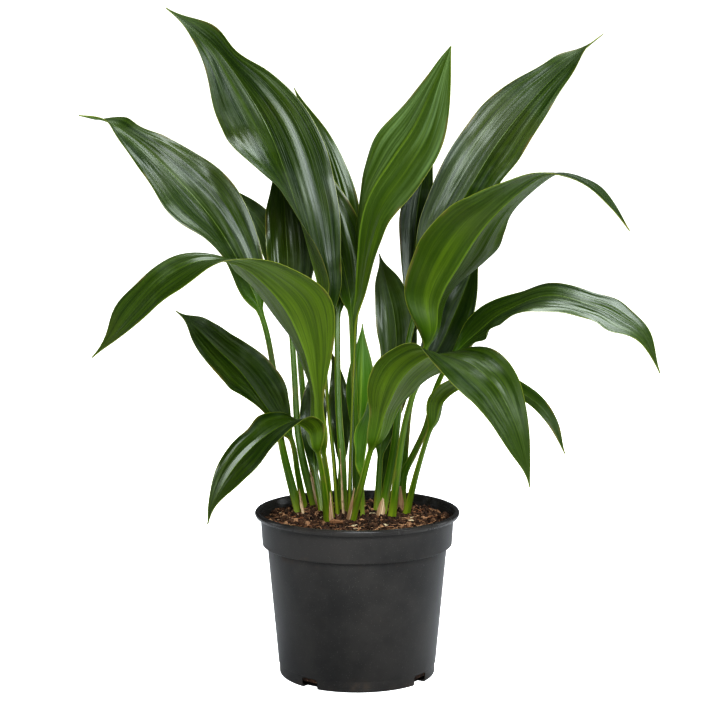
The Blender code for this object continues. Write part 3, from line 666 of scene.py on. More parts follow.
# The stalk's half round below and its channelled top, as shares of half its width.
BELLY, SIDE, CROWN, CHANNEL = 0.70, 0.12, 0.30, 0.15
TIP_HALF, TAPER = 0.5, 2.6               # half the tip's width, and how full the outline is
BLADE_EASE, STALK_EASE = 0.15, 0.3       # how far up the blade its section and width still change
UNEVEN_WIDTH = 0.02

BLADE = 0.7                              # thickness of the blade
EDGE_FROM, EDGE_THINNING = 0.93, 0.5     # where its edge begins to thin, and by how much
# Height or depth of the midrib's relief, its half width, and how much of it is lost at the tip.
RIDGE, RIDGE_HALF, RIDGE_FADE = 1.1, 1.5, 0.8
GROOVE, GROOVE_HALF, GROOVE_FADE = 0.5, 1.3, 0.6

RIPPLE_LAG = 2.1          # radians by which one half's ripple trails the other's
PLEAT, FINE_PLEAT, BLISTER = 0.4, 0.45, 0.35
PLEAT_WANDER, EDGE_WAVE = 0.9, 1.28
RELIEF_RISE = 6           # how steeply the relief begins beside the midrib
# How fast each unevenness changes with two measures of the blade and from leaf to leaf.
WANDER_RATES = (4.0, 5.0, 20.0)     # along, side
EDGE_RATES = (9.0, 7.0, 50.0)       # along, side
DRIFT_RATES = (6.0, 4.0, 70.0)      # along, side
FINE_RATES = (10.0, 5.5, 90.0)      # across, along
HALF_FINE_RATES = (5.0, 4.0, 60.0)  # across, along
BLISTER_RATES = (2.2, 11.0, 30.0)   # across, along
SMALL_WIDTH = 45.0        # a leaf narrower than this has fewer pleats and faces
FULL_RELIEF_HALF = 22.0   # half width from which the pleats reach their full depth


def half_width(leaf, along, stalk_part):
    """Half the leaf's width: along counts from 0 to 1 on the blade, stalk_part on the stalk."""
    stalk = STALK_HALF + (STALK_FOOT_HALF - STALK_HALF) * (1.0 - stalk_part) ** 2
    if along <= 0.0:
        return stalk
    start = TAPER * leaf.widest
    end = TAPER * (1.0 - leaf.widest)
    swell = (along / leaf.widest) ** start * ((1.0 - along) / (1.0 - leaf.widest)) ** end
    return leaf.width / 2 * swell + stalk * (1.0 - smoothstep(along / STALK_EASE)) + TIP_HALF


def rippled_edge(leaf, along, half, out, side, seed):
    """The slow ripple of a blade's edge, with an unevenness of its own."""
    height, waves, phase = leaf.wave
    room = 4 * along * (1 - along) * half / (leaf.width / 2)
    turn = 2 * math.pi * (waves * along + phase) + RIPPLE_LAG * side
    uneven = wobble(EDGE_RATES, along, side, seed) * EDGE_WAVE * out ** 3 * room
    return height * out * out * math.sin(turn) * room + uneven


def pressed_relief(along, half, across, out, side, pleats, seed):
    """The pleats, broad and fine, and the slight blisters between the veins."""
    wander = PLEAT_WANDER * out * wobble(WANDER_RATES, along, side, seed)
    broad = -PLEAT * math.cos(pleats * math.pi * (out + wander))
    fine = FINE_PLEAT * wobble(FINE_RATES, across, along, seed)
    fine += FINE_PLEAT * wobble(HALF_FINE_RATES, across, along, seed)
    blister = BLISTER * wobble(BLISTER_RATES, across, along, seed)
    relief = broad + (fine + blister) * min(1.0, RELIEF_RISE * out)
    return relief * min(1.0, half / FULL_RELIEF_HALF) ** 2


def section(leaf, along, half, across, upper, seed):
    """Where a point lies in the leaf's cross-section: sideways, and towards the upper face."""
    out = abs(across)
    half_side = 1.0 if across > 0 else 0.0
    pleats = 2 if leaf.width < SMALL_WIDTH else 3
    blade = smoothstep(along / BLADE_EASE)
    fold = math.radians(spread(leaf.fold, along))
    rise = half * out * math.sin(fold) + rippled_edge(leaf, along, half, out, half_side, seed)
    rise += pressed_relief(along, half, across, out, half_side, pleats, seed)
    thick = BLADE / 2 * (1 - EDGE_THINNING * smoothstep((out - EDGE_FROM) / (1 - EDGE_FROM)))
    if upper:
        stalk_rise = half * (CROWN * (1 - across ** 2) - CHANNEL * (1 - out))
        groove = GROOVE * math.exp(-(half * out / GROOVE_HALF) ** 2)
        rise += thick - groove * (1 - GROOVE_FADE * along)
    else:
        stalk_rise = -half * (BELLY * math.sqrt(max(0.0, 1 - across ** 2)) + SIDE)
        ridge = RIDGE * math.exp(-(half * out / RIDGE_HALF) ** 2)
        rise -= thick + ridge * (1 - RIDGE_FADE * along)
    drift = wobble(DRIFT_RATES, along, math.copysign(1.0, across), seed)
    narrowed = 1 + (math.cos(fold) - 1) * blade
    side = half * across * narrowed * (1 + UNEVEN_WIDTH * drift * blade)
    return side, stalk_rise + (rise - stalk_rise) * blade


print("blade", BLADE, "mm thick")

# %% [markdown]
# ## One leaf as one mesh
# A grid is laid flat, one direction for the leaf's length and the other for its width, and
# thickened by an extrusion. Then each point is moved to its place along the midrib. Starting from
# a grid keeps the faces in neat rows from foot to tip, so that the pleats stay sharp and the
# finish can follow them.
#
# The points also remember where they are on the leaf, such as which face they're on and how far
# from the midrib. The finish reads these numbers, as it needs the leaf's own directions, not the
# room's.

# %% Shaping and storing
MATURE_GRID, SMALL_GRID = (92, 64), (64, 40)   # faces along and across
STALK_SHARE = 0.28       # share of the rows that lie on the stalk
TWIST_FROM = 0.8         # how far up the blade the tip begins to turn
MIDRIB_CROWDING = 1.25   # above 1 it draws the columns towards the midrib
SMOOTH_UP_TO = math.radians(50)
STORED = ("upper", "along", "across", "distance", "out", "margin", "seed")


def find_station(leaf, midrib, fraction):
    """Middle, sideways and upper directions, and the measures, at a fraction of the stations."""
    blade_length = midrib.length - midrib.stalk
    if fraction < STALK_SHARE:
        distance = midrib.stalk * fraction / STALK_SHARE
    else:
        distance = midrib.stalk + blade_length * ((fraction - STALK_SHARE) / (1 - STALK_SHARE))
    along = min(1.0, (distance - midrib.stalk) / blade_length)
    heading = midrib.heading(distance)
    face = spread([Vector(way) for way in leaf.faces], along)
    face = (face - heading * face.dot(heading)).normalized()
    turn = math.radians(leaf.twist) * smoothstep((along - TWIST_FROM) / (1 - TWIST_FROM))
    face = Matrix.Rotation(turn, 3, heading) @ face
    half = half_width(leaf, along, min(1.0, distance / midrib.stalk))
    return midrib.at(distance), heading.cross(face), face, along, half, distance


def place_on_leaf(vert, leaf, station, across, upper, layers, seed):
    """Move a point of the flat grid to its place on the leaf and store where it is."""
    middle, sideways, face, along, half, distance = station
    half *= flow(leaf.edges[across > 0], along)
    side, rise = section(leaf, max(0.0, along), half, across, upper, seed)
    vert.co = (middle + sideways * side + face * rise) * MM
    out = abs(across)
    values = (float(upper), along, across, distance * MM, out * half, (1 - out) * half, seed)
    for layer, value in zip(layers, values):
        vert[layer] = value


def smooth_shading(mesh):
    """Smooth shading that keeps the sharp corners."""
    mesh.shade_smooth()
    mesh.set_sharp_from_angle(angle=SMOOTH_UP_TO)


def finish_mesh(name, bm, finish, replaced=None, smooth=True):
    """Turn a bmesh into a piece that rides on the plant, has its finish and stands for a solid."""
    mesh = mesh_from(name, bm)
    if smooth:
        smooth_shading(mesh)
    mesh.materials.append(finish)
    piece = link_object(name, mesh)
    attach(piece, "root")
    if replaced:
        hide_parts(replaced)
    return piece


def thick_grid(lengthwise, crosswise, stored):
    """A flat grid with a lower and an upper sheet joined at their edges, and storage layers."""
    bm = bmesh.new()
    layers = [bm.verts.layers.float.new(label) for label in stored]
    bmesh.ops.create_grid(bm, x_segments=lengthwise, y_segments=crosswise, size=0.5)
    bmesh.ops.triangulate(bm, faces=bm.faces[:], quad_method="FIXED")
    lower = bm.verts[:]
    grown = bmesh.ops.extrude_face_region(bm, geom=bm.faces[:], use_keep_orig=True)
    upper = [part for part in grown["geom"] if isinstance(part, bmesh.types.BMVert)]
    return bm, layers, lower, upper


def build_leaf(name, leaf, seed, finish):
    """A finer leaf in the place of its solid."""
    rows, columns = SMALL_GRID if leaf.width < SMALL_WIDTH else MATURE_GRID
    bm, layers, lower, upper = thick_grid(rows, columns, STORED)
    stations = [find_station(leaf, midribs[name], row / rows) for row in range(rows + 1)]
    for verts, is_upper in ((lower, False), (upper, True)):
        for vert in verts:
            station = stations[round((vert.co.x + 0.5) * rows)]
            across = math.copysign(abs(2 * vert.co.y) ** MIDRIB_CROWDING, vert.co.y)
            place_on_leaf(vert, leaf, station, across, is_upper, layers, seed)
    bmesh.ops.recalc_face_normals(bm, faces=bm.faces[:])
    return finish_mesh(f"fine_{name}", bm, finish, name)


print("mature leaf", MATURE_GRID[0], "by", MATURE_GRID[1], "faces on each side")

# %% [markdown]
# ## The leaves' finish
# The upper face is a deep, waxy green with a cool shine, and the lower face is duller and
# yellower, with a painted sheen towards its tip: pale streaks that stand in for the lamps' shine.
# Both carry fine veins from end to end, a pale midrib and a thin yellow edge that is worn brown in
# places. The stalk is brighter than the blade and turns pale where it leaves the soil. Old blades
# also gather dust and a few water marks.
# One finish serves every mature leaf: it reads the numbers that the points store, so each blade
# still differs from the next. Young leaves get a second one with fresher greens.

# %% Leaf finish
class Greens(NamedTuple):
    """The colours of a leaf; the two faces have a dark and a light one."""

    upper: tuple
    under: tuple
    rib: tuple
    edge: tuple
    foot: tuple      # the stalk where it leaves the soil
    stalk: tuple


MATURE_GREENS = Greens(
    upper=((0.009, 0.026, 0.0006), (0.044, 0.078, 0.003)),
    under=((0.034, 0.068, 0.0006), (0.098, 0.158, 0.004)),
    rib=(0.13, 0.20, 0.015), edge=(0.24, 0.27, 0.03),
    foot=(0.27, 0.35, 0.025), stalk=(0.066, 0.148, 0.001))
YOUNG_GREENS = Greens(
    upper=((0.040, 0.120, 0.002), (0.085, 0.190, 0.006)),
    under=((0.055, 0.140, 0.002), (0.110, 0.220, 0.010)),
    rib=(0.18, 0.28, 0.03), edge=(0.26, 0.32, 0.04),
    foot=(0.34, 0.40, 0.08), stalk=(0.13, 0.25, 0.006))
OLIVE, OLIVE_PATCHES = (0.070, 0.078, 0.014), (0.48, 0.68)
WORN_BROWN, WORN_PATCHES = (0.20, 0.13, 0.05), (0.52, 0.66)
# Painted sheen: a pale colour on the lower face that stands in for the lamps' shine
PAINTED_SHEEN = (0.24, 0.34, 0.19)
LEAF_DUST = (0.42, 0.47, 0.40)
GREEN_RANGE = (0.65, 1.2)

# Where things fade in. Along the blade from 0 to 1, and below 0 on the stalk:
BLADE_BEGINS, STALK_GREEN = (-0.05, 0.10), (0.16, -0.06)
RIB_FADES, SHEEN_COMES, TIP_DULLS = (1.0, 0.5), (0.35, 0.80), (0.72, 0.92)
# In millimetres from the edge, and of the blade's width:
EDGE_LINE, WORN_EDGE, WIDE_ENOUGH = (0.75, 0.15), (3.0, 0.3), (9.0, 34.0)
# In metres from the stalk's buried end:
PALE_FOOT = (0.013, 0.040)

DULL, LEAST_WAX, COAT_ROUGHNESS = 0.52, 0.30, 0.26


def blade_greens(board, pattern, greens):
    """The colour of the upper and lower blade, mixed by streaks, fibres and fine veins."""
    amount = board.raised(board.times(pattern["Streaks"], 0.6), (pattern["Broad"], 0.6),
                          (pattern["Fibres"], 0.40), (board.number("seed"), 0.25))
    amount = board.between(amount, *GREEN_RANGE)
    upper, under = (board.tint(board.blend(amount, dark, light), dark, pattern["Veins"], 0.65)
                    for dark, light in (greens.upper, greens.under))
    green = board.blend(board.number("upper"), under, upper)
    patches = board.between(board.noise(board.place(), 13.0), *OLIVE_PATCHES)
    return board.tint(green, OLIVE, patches, 0.22)


def add_painted_sheen(board, colour, pattern):
    """Painted sheen: pale streaks on the lower face, mostly towards the tip, in place of the lamps'
    shine.
    """
    patches = board.times(board.between(pattern["Broad"], 0.36, 0.60),
                          board.between(pattern["Streaks"], 0.20, 0.70),
                          board.between(board.number("along"), *SHEEN_COMES),
                          board.minus(1.0, board.number("upper")))
    # The painted sheen is tinted into the lower face's colour here
    return board.tint(colour, PAINTED_SHEEN, patches, 0.40)


def add_stalk(board, colour, pattern, greens):
    """The stalk's own green, paler towards the soil."""
    height = board.between(board.number("distance"), *PALE_FOOT)
    shade = board.blend(height, greens.foot, greens.stalk)
    shade = board.tint(shade, colour, pattern["Streaks"], 0.45)
    return board.blend(board.between(board.number("along"), *STALK_GREEN), colour, shade)


def add_lines(board, colour, greens):
    """A pale midrib, wider below than above, and a thin pale edge, brown and worn in places."""
    upper, margin = board.number("upper"), board.number("margin")
    reach = board.minus(1.7, board.times(upper, 0.9))
    near_rib = board.minus(1.0, board.math("DIVIDE", board.number("out"), reach), clamp=True)
    tapering = board.between(board.number("along"), *RIB_FADES)
    strength = board.minus(0.75, board.times(upper, 0.35))
    near_rib = board.times(board.between(near_rib, 0.0, 0.5), tapering)
    colour = board.tint(colour, greens.rib, near_rib, strength)
    patches = board.between(board.noise(board.place(), 30.0, 2.0), *WORN_PATCHES)
    worn = board.times(board.between(margin, *WORN_EDGE), patches)
    colour = board.tint(colour, WORN_BROWN, worn, 0.5)
    return board.tint(colour, greens.edge, board.between(margin, *EDGE_LINE), 0.7)


def leaf_dust(board):
    """How much dust lies at a place: soft clouds with small dried drops."""
    cloud = board.noise(board.place(), 22.0, 4.0, 0.65)
    drops = board.times(specks(board, scale=180.0, size=0.11), board.between(cloud, 0.4, 0.6))
    patches = board.between(cloud, 0.48, 0.75)
    return board.times(board.plus(patches, drops, clamp=True), board.number("upper"))


def leaf_shine(board, pattern, dust):
    """The roughness and the coat's weight: waxy above and on the stalk, dull at the tip."""
    along = board.number("along")
    on_stalk = board.minus(0.50, board.between(along, *BLADE_BEGINS))
    waxy = board.math("MAXIMUM", board.number("upper"), on_stalk)
    waxy = board.math("MAXIMUM", waxy, LEAST_WAX)
    at_tip = board.between(along, *TIP_DULLS)
    roughness = board.raised(board.minus(DULL, board.times(waxy, 0.24)),
                             (pattern["Broad"], 0.16), (at_tip, 0.22), (dust, 0.16))
    patchy = board.raised(0.22, (board.between(pattern["Broad"], 0.30, 0.65), 0.26))
    coat = board.times(waxy, patchy, board.minus(1.0, board.times(at_tip, 0.8)))
    return roughness, coat


def leaf_ridges(board, pattern):
    """Fine ridges along the blade, grooved by the veins; they fade where it is narrow."""
    grooved = board.minus(pattern["Streaks"], board.times(pattern["Veins"], 0.20))
    ridges = board.raised(grooved, (pattern["Fibres"], 0.06))
    width = board.plus(board.number("out"), board.number("margin"))
    ridges = board.times(ridges, board.between(width, *WIDE_ENOUGH))
    return board.bump(ridges, strength=0.7, distance=0.0008)


def make_leaf_finish(name, greens):
    """The waxy finish of a whole leaf, stalk and blade."""
    finish = Finish(name, specular=0.25)
    pattern = lengthwise(finish)
    # The lower face gets its painted sheen, pale streaks standing in for the lamps' shine
    colour = add_painted_sheen(finish, blade_greens(finish, pattern, greens), pattern)
    colour = add_lines(finish, add_stalk(finish, colour, pattern, greens), greens)
    dust = leaf_dust(finish)
    roughness, coat = leaf_shine(finish, pattern, dust)
    return finish.wear(base_color=finish.tint(colour, LEAF_DUST, dust, 0.07),
                       roughness=roughness, coat_weight=coat, coat_roughness=COAT_ROUGHNESS,
                       normal=leaf_ridges(finish, pattern))


mature_leaf = make_leaf_finish("mature_leaf", MATURE_GREENS)
young_leaf = make_leaf_finish("young_leaf", YOUNG_GREENS)
print("finishes", mature_leaf.name, young_leaf.name)

# %% Every leaf
random.seed(11)
triangles = 0
for name, leaf in LEAVES.items():
    finish, slot = (young_leaf, "young_leaf") if leaf.young else (mature_leaf, "leaf")
    piece = build_leaf(name, leaf, random.random(), finish)
    triangles += len(piece.data.polygons)
print(len(LEAVES), "leaves,", triangles, "faces")

# %% [markdown]
# ## The pot
# The pot is the thin black kind that growers use, pressed from recycled plastic: a tapered wall, a
# taller collar with a rolled rim, a recessed floor, and notches at the foot that let water run
# out. A profile spun round the axis gives the whole shell at once, which keeps the wall's
# thickness even. The notches and drain holes are cut afterwards with Booleans.

# %% Profile and spin
POT_HEIGHT = 154.5
RIM_RADIUS = 95.0
BEAD_RADIUS = 2.5
COLLAR_TOP_RADIUS = 89.7
COLLAR_FOOT_RADIUS = 88.2
COLLAR_FOOT = 123.4
LEDGE = 4.0
BODY_TOP_RADIUS = 83.5
BODY_FOOT_RADIUS = 72.5
FOOT_HEIGHT = 11.0
FOOT_RING_INNER = 62.0
FLOOR_HEIGHT = 4.0
FLOOR_SLOPE = 1.6
WALL = 1.5
POT_STEPS = 144
MERGE = 0.01


def arc(middle, radius, start, end, steps):
    """Points (radius, height) on a round corner of a profile, between two angles in degrees."""
    angles = [math.radians(start + (end - start) * step / steps) for step in range(steps + 1)]
    return [(middle[0] + radius * math.cos(angle), middle[1] + radius * math.sin(angle))
            for angle in angles]


def spin_profile(profile, steps):
    """A closed body turned about Z from a profile that starts and ends on the axis."""
    bm = bmesh.new()
    verts = [bm.verts.new((radius * MM, 0.0, height * MM)) for radius, height in profile]
    edges = [bm.edges.new(pair) for pair in zip(verts, verts[1:])]
    bmesh.ops.spin(bm, geom=verts + edges, axis=(0, 0, 1), cent=(0, 0, 0), angle=2 * math.pi,
                   steps=steps, use_merge=True, use_duplicate=False)
    bmesh.ops.remove_doubles(bm, verts=bm.verts[:], dist=MERGE * MM)
    bmesh.ops.recalc_face_normals(bm, faces=bm.faces[:])
    return bm


def inner_wall(height):
    """Radius of the pot's inside at a height on its tapered body."""
    slope = (BODY_TOP_RADIUS - BODY_FOOT_RADIUS) / COLLAR_FOOT
    return BODY_FOOT_RADIUS + slope * height - WALL


def pot_profile():
    """The pot's section: in along the underside, up the outside, over the rim, down the inside."""
    underside = [(0, FLOOR_HEIGHT), (FOOT_RING_INNER - FLOOR_SLOPE, FLOOR_HEIGHT),
                 (FOOT_RING_INNER, 0)]
    foot = arc((BODY_FOOT_RADIUS - 2.5, 2.5), 2.5, -90, 0, 6)
    foot += [(BODY_FOOT_RADIUS + 0.2, FOOT_HEIGHT - 0.7), (BODY_FOOT_RADIUS + 0.5, FOOT_HEIGHT),
             (BODY_FOOT_RADIUS + 0.95, FOOT_HEIGHT + 0.4)]
    body = arc((BODY_TOP_RADIUS + 1.5, COLLAR_FOOT - 2.4), 1.5, 180, 90, 5)
    collar = arc((COLLAR_FOOT_RADIUS - 1.2, COLLAR_FOOT + 0.3), 1.2, -90, 0, 6)
    collar += arc((COLLAR_TOP_RADIUS + 0.8, POT_HEIGHT - 6.4), 0.8, 180, 90, 4)
    bead = [(RIM_RADIUS - 1.2, POT_HEIGHT - 5.3)]
    bead += arc((RIM_RADIUS - BEAD_RADIUS, POT_HEIGHT - BEAD_RADIUS), BEAD_RADIUS, -35, 180, 14)
    inside = [(COLLAR_TOP_RADIUS - WALL, POT_HEIGHT - 5.4),
              (COLLAR_FOOT_RADIUS - WALL, COLLAR_FOOT + LEDGE / 2),
              (inner_wall(COLLAR_FOOT), COLLAR_FOOT - LEDGE / 2), (inner_wall(3), 3),
              (BODY_FOOT_RADIUS - 3, WALL), (FOOT_RING_INNER + WALL, WALL),
              (FOOT_RING_INNER + WALL - FLOOR_SLOPE, FLOOR_HEIGHT + WALL),
              (0, FLOOR_HEIGHT + WALL)]
    return underside + foot + body + collar + bead + inside


print(len(pot_profile()), "points in the pot's profile")

# %% Notches and drain holes
NOTCH_ANGLES = (-37, 53, 143, 233)
NOTCH_SIZE = (17.5, 18, 19)   # width, depth through the wall, and height, half of it below ground
NOTCH_ROUNDING = 2.5
DRAIN_HOLES, DRAIN_RADIUS, DRAIN_DEPTH = 8, 5.0, 8.0
DRAIN_CIRCLE = 42   # radius of the ring that the holes lie on


def turned(bm, angle):
    """A shape made at the front (-Y) and carried round the pot, positive to the right."""
    turn = Matrix.Rotation(math.radians(angle), 4, "Z")
    bmesh.ops.transform(bm, matrix=turn, verts=bm.verts)
    return bm


def notch_shape(angle):
    """A round-topped block that cuts one drainage notch through the foot."""
    bm = bmesh.new()
    bmesh.ops.create_cube(bm, size=1.0)
    bmesh.ops.scale(bm, vec=Vector(NOTCH_SIZE) * MM, verts=bm.verts)
    upper = [edge for edge in bm.edges if all(vert.co.z > 0 for vert in edge.verts)
             and abs(edge.verts[0].co.x - edge.verts[1].co.x) < MM]
    bmesh.ops.bevel(bm, geom=upper, offset=NOTCH_ROUNDING * MM, segments=6, profile=0.5,
                    affect="EDGES", material=-1)
    bmesh.ops.translate(bm, vec=(0, -BODY_FOOT_RADIUS * MM, 0), verts=bm.verts)
    return turned(bm, angle)


def drain_shape(angle):
    """A round cutter for one drain hole in the floor."""
    bm = bmesh.new()
    bmesh.ops.create_cone(bm, cap_ends=True, segments=28, radius1=DRAIN_RADIUS * MM,
                          radius2=DRAIN_RADIUS * MM, depth=DRAIN_DEPTH * MM)
    bmesh.ops.translate(bm, vec=Vector((0, -DRAIN_CIRCLE, FLOOR_HEIGHT)) * MM, verts=bm.verts)
    return turned(bm, angle)


def settled_mesh(piece):
    """A piece's mesh with its modifiers, or its bevel, worked out."""
    bpy.context.view_layer.update()
    depsgraph = bpy.context.evaluated_depsgraph_get()
    return bpy.data.meshes.new_from_object(piece.evaluated_get(depsgraph))


def cut_shapes(piece, shapes):
    """Cut every shape out of a piece, then throw the cutters away."""
    cutters = []
    for bm in shapes:
        cutter = link_object("cutter", mesh_from("cutter", bm))
        boolean = piece.modifiers.new("cut", "BOOLEAN")
        boolean.object = cutter
        boolean.solver = "EXACT"
        cutters.append(cutter)
    result = settled_mesh(piece)
    piece.modifiers.clear()
    piece.data = result
    for cutter in cutters:
        bpy.data.objects.remove(cutter, do_unlink=True)


print(len(NOTCH_ANGLES), "notches and", DRAIN_HOLES, "drain holes")

# %% [markdown]
# ## The pot's finish
# Recycled black plastic is really a very dark grey. It has a fine pressed grain, pale specks from
# the mixed plastic, faint flow bands round the wall, and brown dust from the soil that settles on
# the rim, under the collar and at the foot. The rim is rubbed a little smoother.

# %% Pot finish
PLASTIC = ((0.0225, 0.021, 0.0195), (0.045, 0.041, 0.037))
FLOW_BAND = (0.035, 0.034, 0.033)
GRAIN_TOP = (0.060, 0.057, 0.054)
PALE_SPECK = (0.17, 0.16, 0.14)
SOIL_DUST = (0.13, 0.09, 0.06)
# Heights in metres where each part of the wall fades in.
DUSTY_RIM, DUSTY_FOOT = (0.1480, 0.1535), (0.018, 0.002)
STEP_FROM_BELOW, STEP_FROM_ABOVE = (0.114, 0.121), (0.128, 0.123)
RUBBED_RIM = (0.1475, 0.1490)


def pot_dust(board, place, height):
    """Where soil dust clings: on the rim, at the collar's step and at the foot, in patches."""
    soiled = board.between(board.noise(place, 48.0, 5.0, 0.7), 0.50, 0.78)
    step = board.times(board.between(height, *STEP_FROM_BELOW),
                       board.between(height, *STEP_FROM_ABOVE))
    low = board.plus(step, board.between(height, *DUSTY_FOOT))
    low = board.plus(board.times(board.between(height, *DUSTY_RIM), 0.25), low, clamp=True)
    return board.times(soiled, board.plus(low, 0.10, clamp=True))


def make_pot_finish():
    """Dark moulded plastic with specks, bands, dust and a rubbed rim."""
    finish = Finish("nursery_plastic", specular=0.25)
    place = finish.place()
    height = finish.add("ShaderNodeSeparateXYZ", {"Vector": place}).outputs["Z"]
    cloud = finish.noise(place, 14.0, 4.0, 0.6)
    grain = finish.noise(place, 900.0, 2.0, 0.7)
    bands = finish.noise(finish.point(0.0, 0.0, finish.times(height, 260.0)), 1.0, 2.0)
    dust = pot_dust(finish, place, height)
    colour = finish.blend(finish.between(cloud, 0.3, 0.7), *PLASTIC)
    colour = finish.tint(colour, FLOW_BAND, bands, 0.16)
    colour = finish.tint(colour, GRAIN_TOP, finish.between(grain, 0.62, 0.78), 0.25)
    colour = finish.tint(colour, PALE_SPECK, specks(finish, scale=750.0, size=0.20), 0.30)
    colour = finish.tint(colour, SOIL_DUST, dust, 0.35)
    rubbed = finish.times(finish.between(height, *RUBBED_RIM), 0.15)
    roughness = finish.minus(finish.raised(0.32, (cloud, 0.18)), rubbed)
    return finish.wear(base_color=colour, roughness=finish.raised(roughness, (dust, 0.35)),
                       normal=finish.bump(grain, strength=0.25, distance=0.00020))


pot_shell = spin_profile(pot_profile(), POT_STEPS)
pot_piece = finish_mesh("fine_pot", pot_shell, make_pot_finish(), "pot")
drain_angles = [360 / DRAIN_HOLES * (number + 0.5) for number in range(DRAIN_HOLES)]
cut_shapes(pot_piece, [notch_shape(angle) for angle in NOTCH_ANGLES]
           + [drain_shape(angle) for angle in drain_angles])
smooth_shading(pot_piece.data)
print("pot", len(pot_piece.data.polygons), "faces")

# %% [markdown]
# ## Potting mix
# The mix is bark, peat and coir: brown crumbs of every size, a few pale chips, and threads of
# root. Its body is a spun plug with a lumpy top. The loose bits on top are separate small shapes,
# since a bump alone looks like a painted floor where the light grazes it. Each kind is joined into
# one piece so that it stays cheap.

# %% The plug
GAP = 0.35   # between the mix and the pot, and between a sheath and its stalk
SOIL_LEVEL = 145.0
SOIL_LUMPS = ((2.2, 14.0, 0), (1.3, 4.5, 40), (0.5, 1.7, 90))   # height, size, place in the noise
SOIL_RINGS = 30
SOIL_STEPS = 128


def soil_height(x, y):
    """Height of the mix at a place: the solid's lumps and two finer kinds, in millimetres."""
    lumps = [height * noise.noise(Vector((x, y, layer)) / size)
             for height, size, layer in SOIL_LUMPS]
    return SOIL_LEVEL + sum(lumps)


def soil_profile():
    """The plug's section: in along its bottom, up the pot's inside, then in over the top."""
    floor = FLOOR_HEIGHT + WALL + GAP
    edge = COLLAR_TOP_RADIUS - WALL - GAP - 0.4
    ledge_inner = (inner_wall(COLLAR_FOOT) - 1.2 * GAP, COLLAR_FOOT - LEDGE / 2 + 0.6 * GAP)
    ledge_outer = (COLLAR_FOOT_RADIUS - WALL - 1.2 * GAP, COLLAR_FOOT + LEDGE / 2 + 0.6 * GAP)
    sides = [(0, floor), (inner_wall(floor) - GAP, floor), ledge_inner, ledge_outer,
             (edge - 0.4, SOIL_LEVEL - 3)]
    return sides + [(edge * (1 - ring / SOIL_RINGS), SOIL_LEVEL)
                    for ring in range(SOIL_RINGS + 1)]


def build_plug():
    """The plug of potting mix with its lumpy top."""
    bm = spin_profile(soil_profile(), SOIL_STEPS)
    for vert in bm.verts:
        if vert.co.z > (SOIL_LEVEL - 1) * MM:
            vert.co.z = soil_height(vert.co.x / MM, vert.co.y / MM) * MM
    bmesh.ops.triangulate(bm, faces=bm.faces[:])
    return bm


SOIL_GRIT = (0.30, 0.22, 0.14)


def make_soil_finish(name, dark, middle, pale):
    """Crumbly brown with pale grit; crumbs of the highest tones are paler all over."""
    finish = Finish(name, specular=0.3)
    place = finish.place()
    coarse = finish.noise(place, 190.0, 4.0, 0.65)
    fine = finish.noise(place, 900.0, 3.0, 0.7)
    colour = finish.blend(finish.between(coarse, 0.35, 0.68), dark, middle)
    colour = finish.tint(colour, pale, finish.between(fine, 0.55, 0.75), 0.5)
    colour = finish.tint(colour, pale, finish.between(finish.number("tone"), 0.75, 1.0), 0.7)
    colour = finish.tint(colour, SOIL_GRIT, specks(finish, scale=330.0, size=0.24), 0.30)
    height = finish.raised(coarse, (fine, 0.5))
    return finish.wear(base_color=colour, roughness=finish.raised(0.80, (fine, 0.2)),
                       normal=finish.bump(height, strength=0.8, distance=0.0012))


soil_finish = make_soil_finish("potting_mix", (0.012, 0.007, 0.005), (0.066, 0.034, 0.020),
                               (0.24, 0.13, 0.075))
plug = finish_mesh("fine_soil", build_plug(), soil_finish, "soil")
print("plug", len(plug.data.polygons), "faces")

# %% [markdown]
# ### Crumbs
# A crumb is a sphere of twenty faces, squeezed and knocked out of round. Thousands of them would
# be too heavy as separate objects, so all are made in one mesh. Each keeps a tone, a number that
# the finish turns into its shade.

# %% Crumbs
CRUMBS = 2600
SMALLEST_CRUMB, CRUMB_RANGE = 0.5, 3.2
CRUMB_KNOCK = 0.22
TOP_RADIUS = 86.0


def scatter(reach):
    """An even random place on the mix's round top, in millimetres."""
    radius = reach * math.sqrt(random.random())
    turn = random.uniform(0, 2 * math.pi)
    return radius * math.cos(turn), radius * math.sin(turn)


def random_turn():
    """A random orientation."""
    turns = [Matrix.Rotation(random.uniform(0, 2 * math.pi), 4, axis) for axis in "XYZ"]
    return turns[0] @ turns[1] @ turns[2]


def on_soil(x, y, lift):
    """The matrix that carries a shape to a place on the mix, lifted a little."""
    return Matrix.Translation((x * MM, y * MM, (soil_height(x, y) + lift) * MM))


def build_crumbs():
    """Loose crumbs of many sizes over the top of the mix."""
    bm = bmesh.new()
    tone = bm.verts.layers.float.new("tone")
    for _ in range(CRUMBS):
        x, y = scatter(TOP_RADIUS)
        size = SMALLEST_CRUMB + CRUMB_RANGE * random.random() ** 3
        shade = random.random()
        width, thickness = size * random.uniform(0.6, 1), size * random.uniform(0.5, 0.9)
        squeeze = Matrix.Diagonal((size, width, thickness, 1))
        shape = on_soil(x, y, 0.2 * size) @ random_turn() @ Matrix.Scale(MM, 4) @ squeeze
        made = bmesh.ops.create_icosphere(bm, subdivisions=1, radius=1.0, matrix=shape)
        for vert in made["verts"]:
            vert[tone] = shade
            knock = [random.uniform(-CRUMB_KNOCK, CRUMB_KNOCK) for _ in range(3)]
            vert.co += Vector([push * size * MM for push in knock])
    return bm


random.seed(23)
crumb_finish = make_soil_finish("loose_crumbs", (0.014, 0.008, 0.005), (0.100, 0.050, 0.028),
                                (0.50, 0.29, 0.16))
crumbs = finish_mesh("soil_crumbs", build_crumbs(), crumb_finish, smooth=False)
print("crumbs", len(crumbs.data.polygons), "faces")

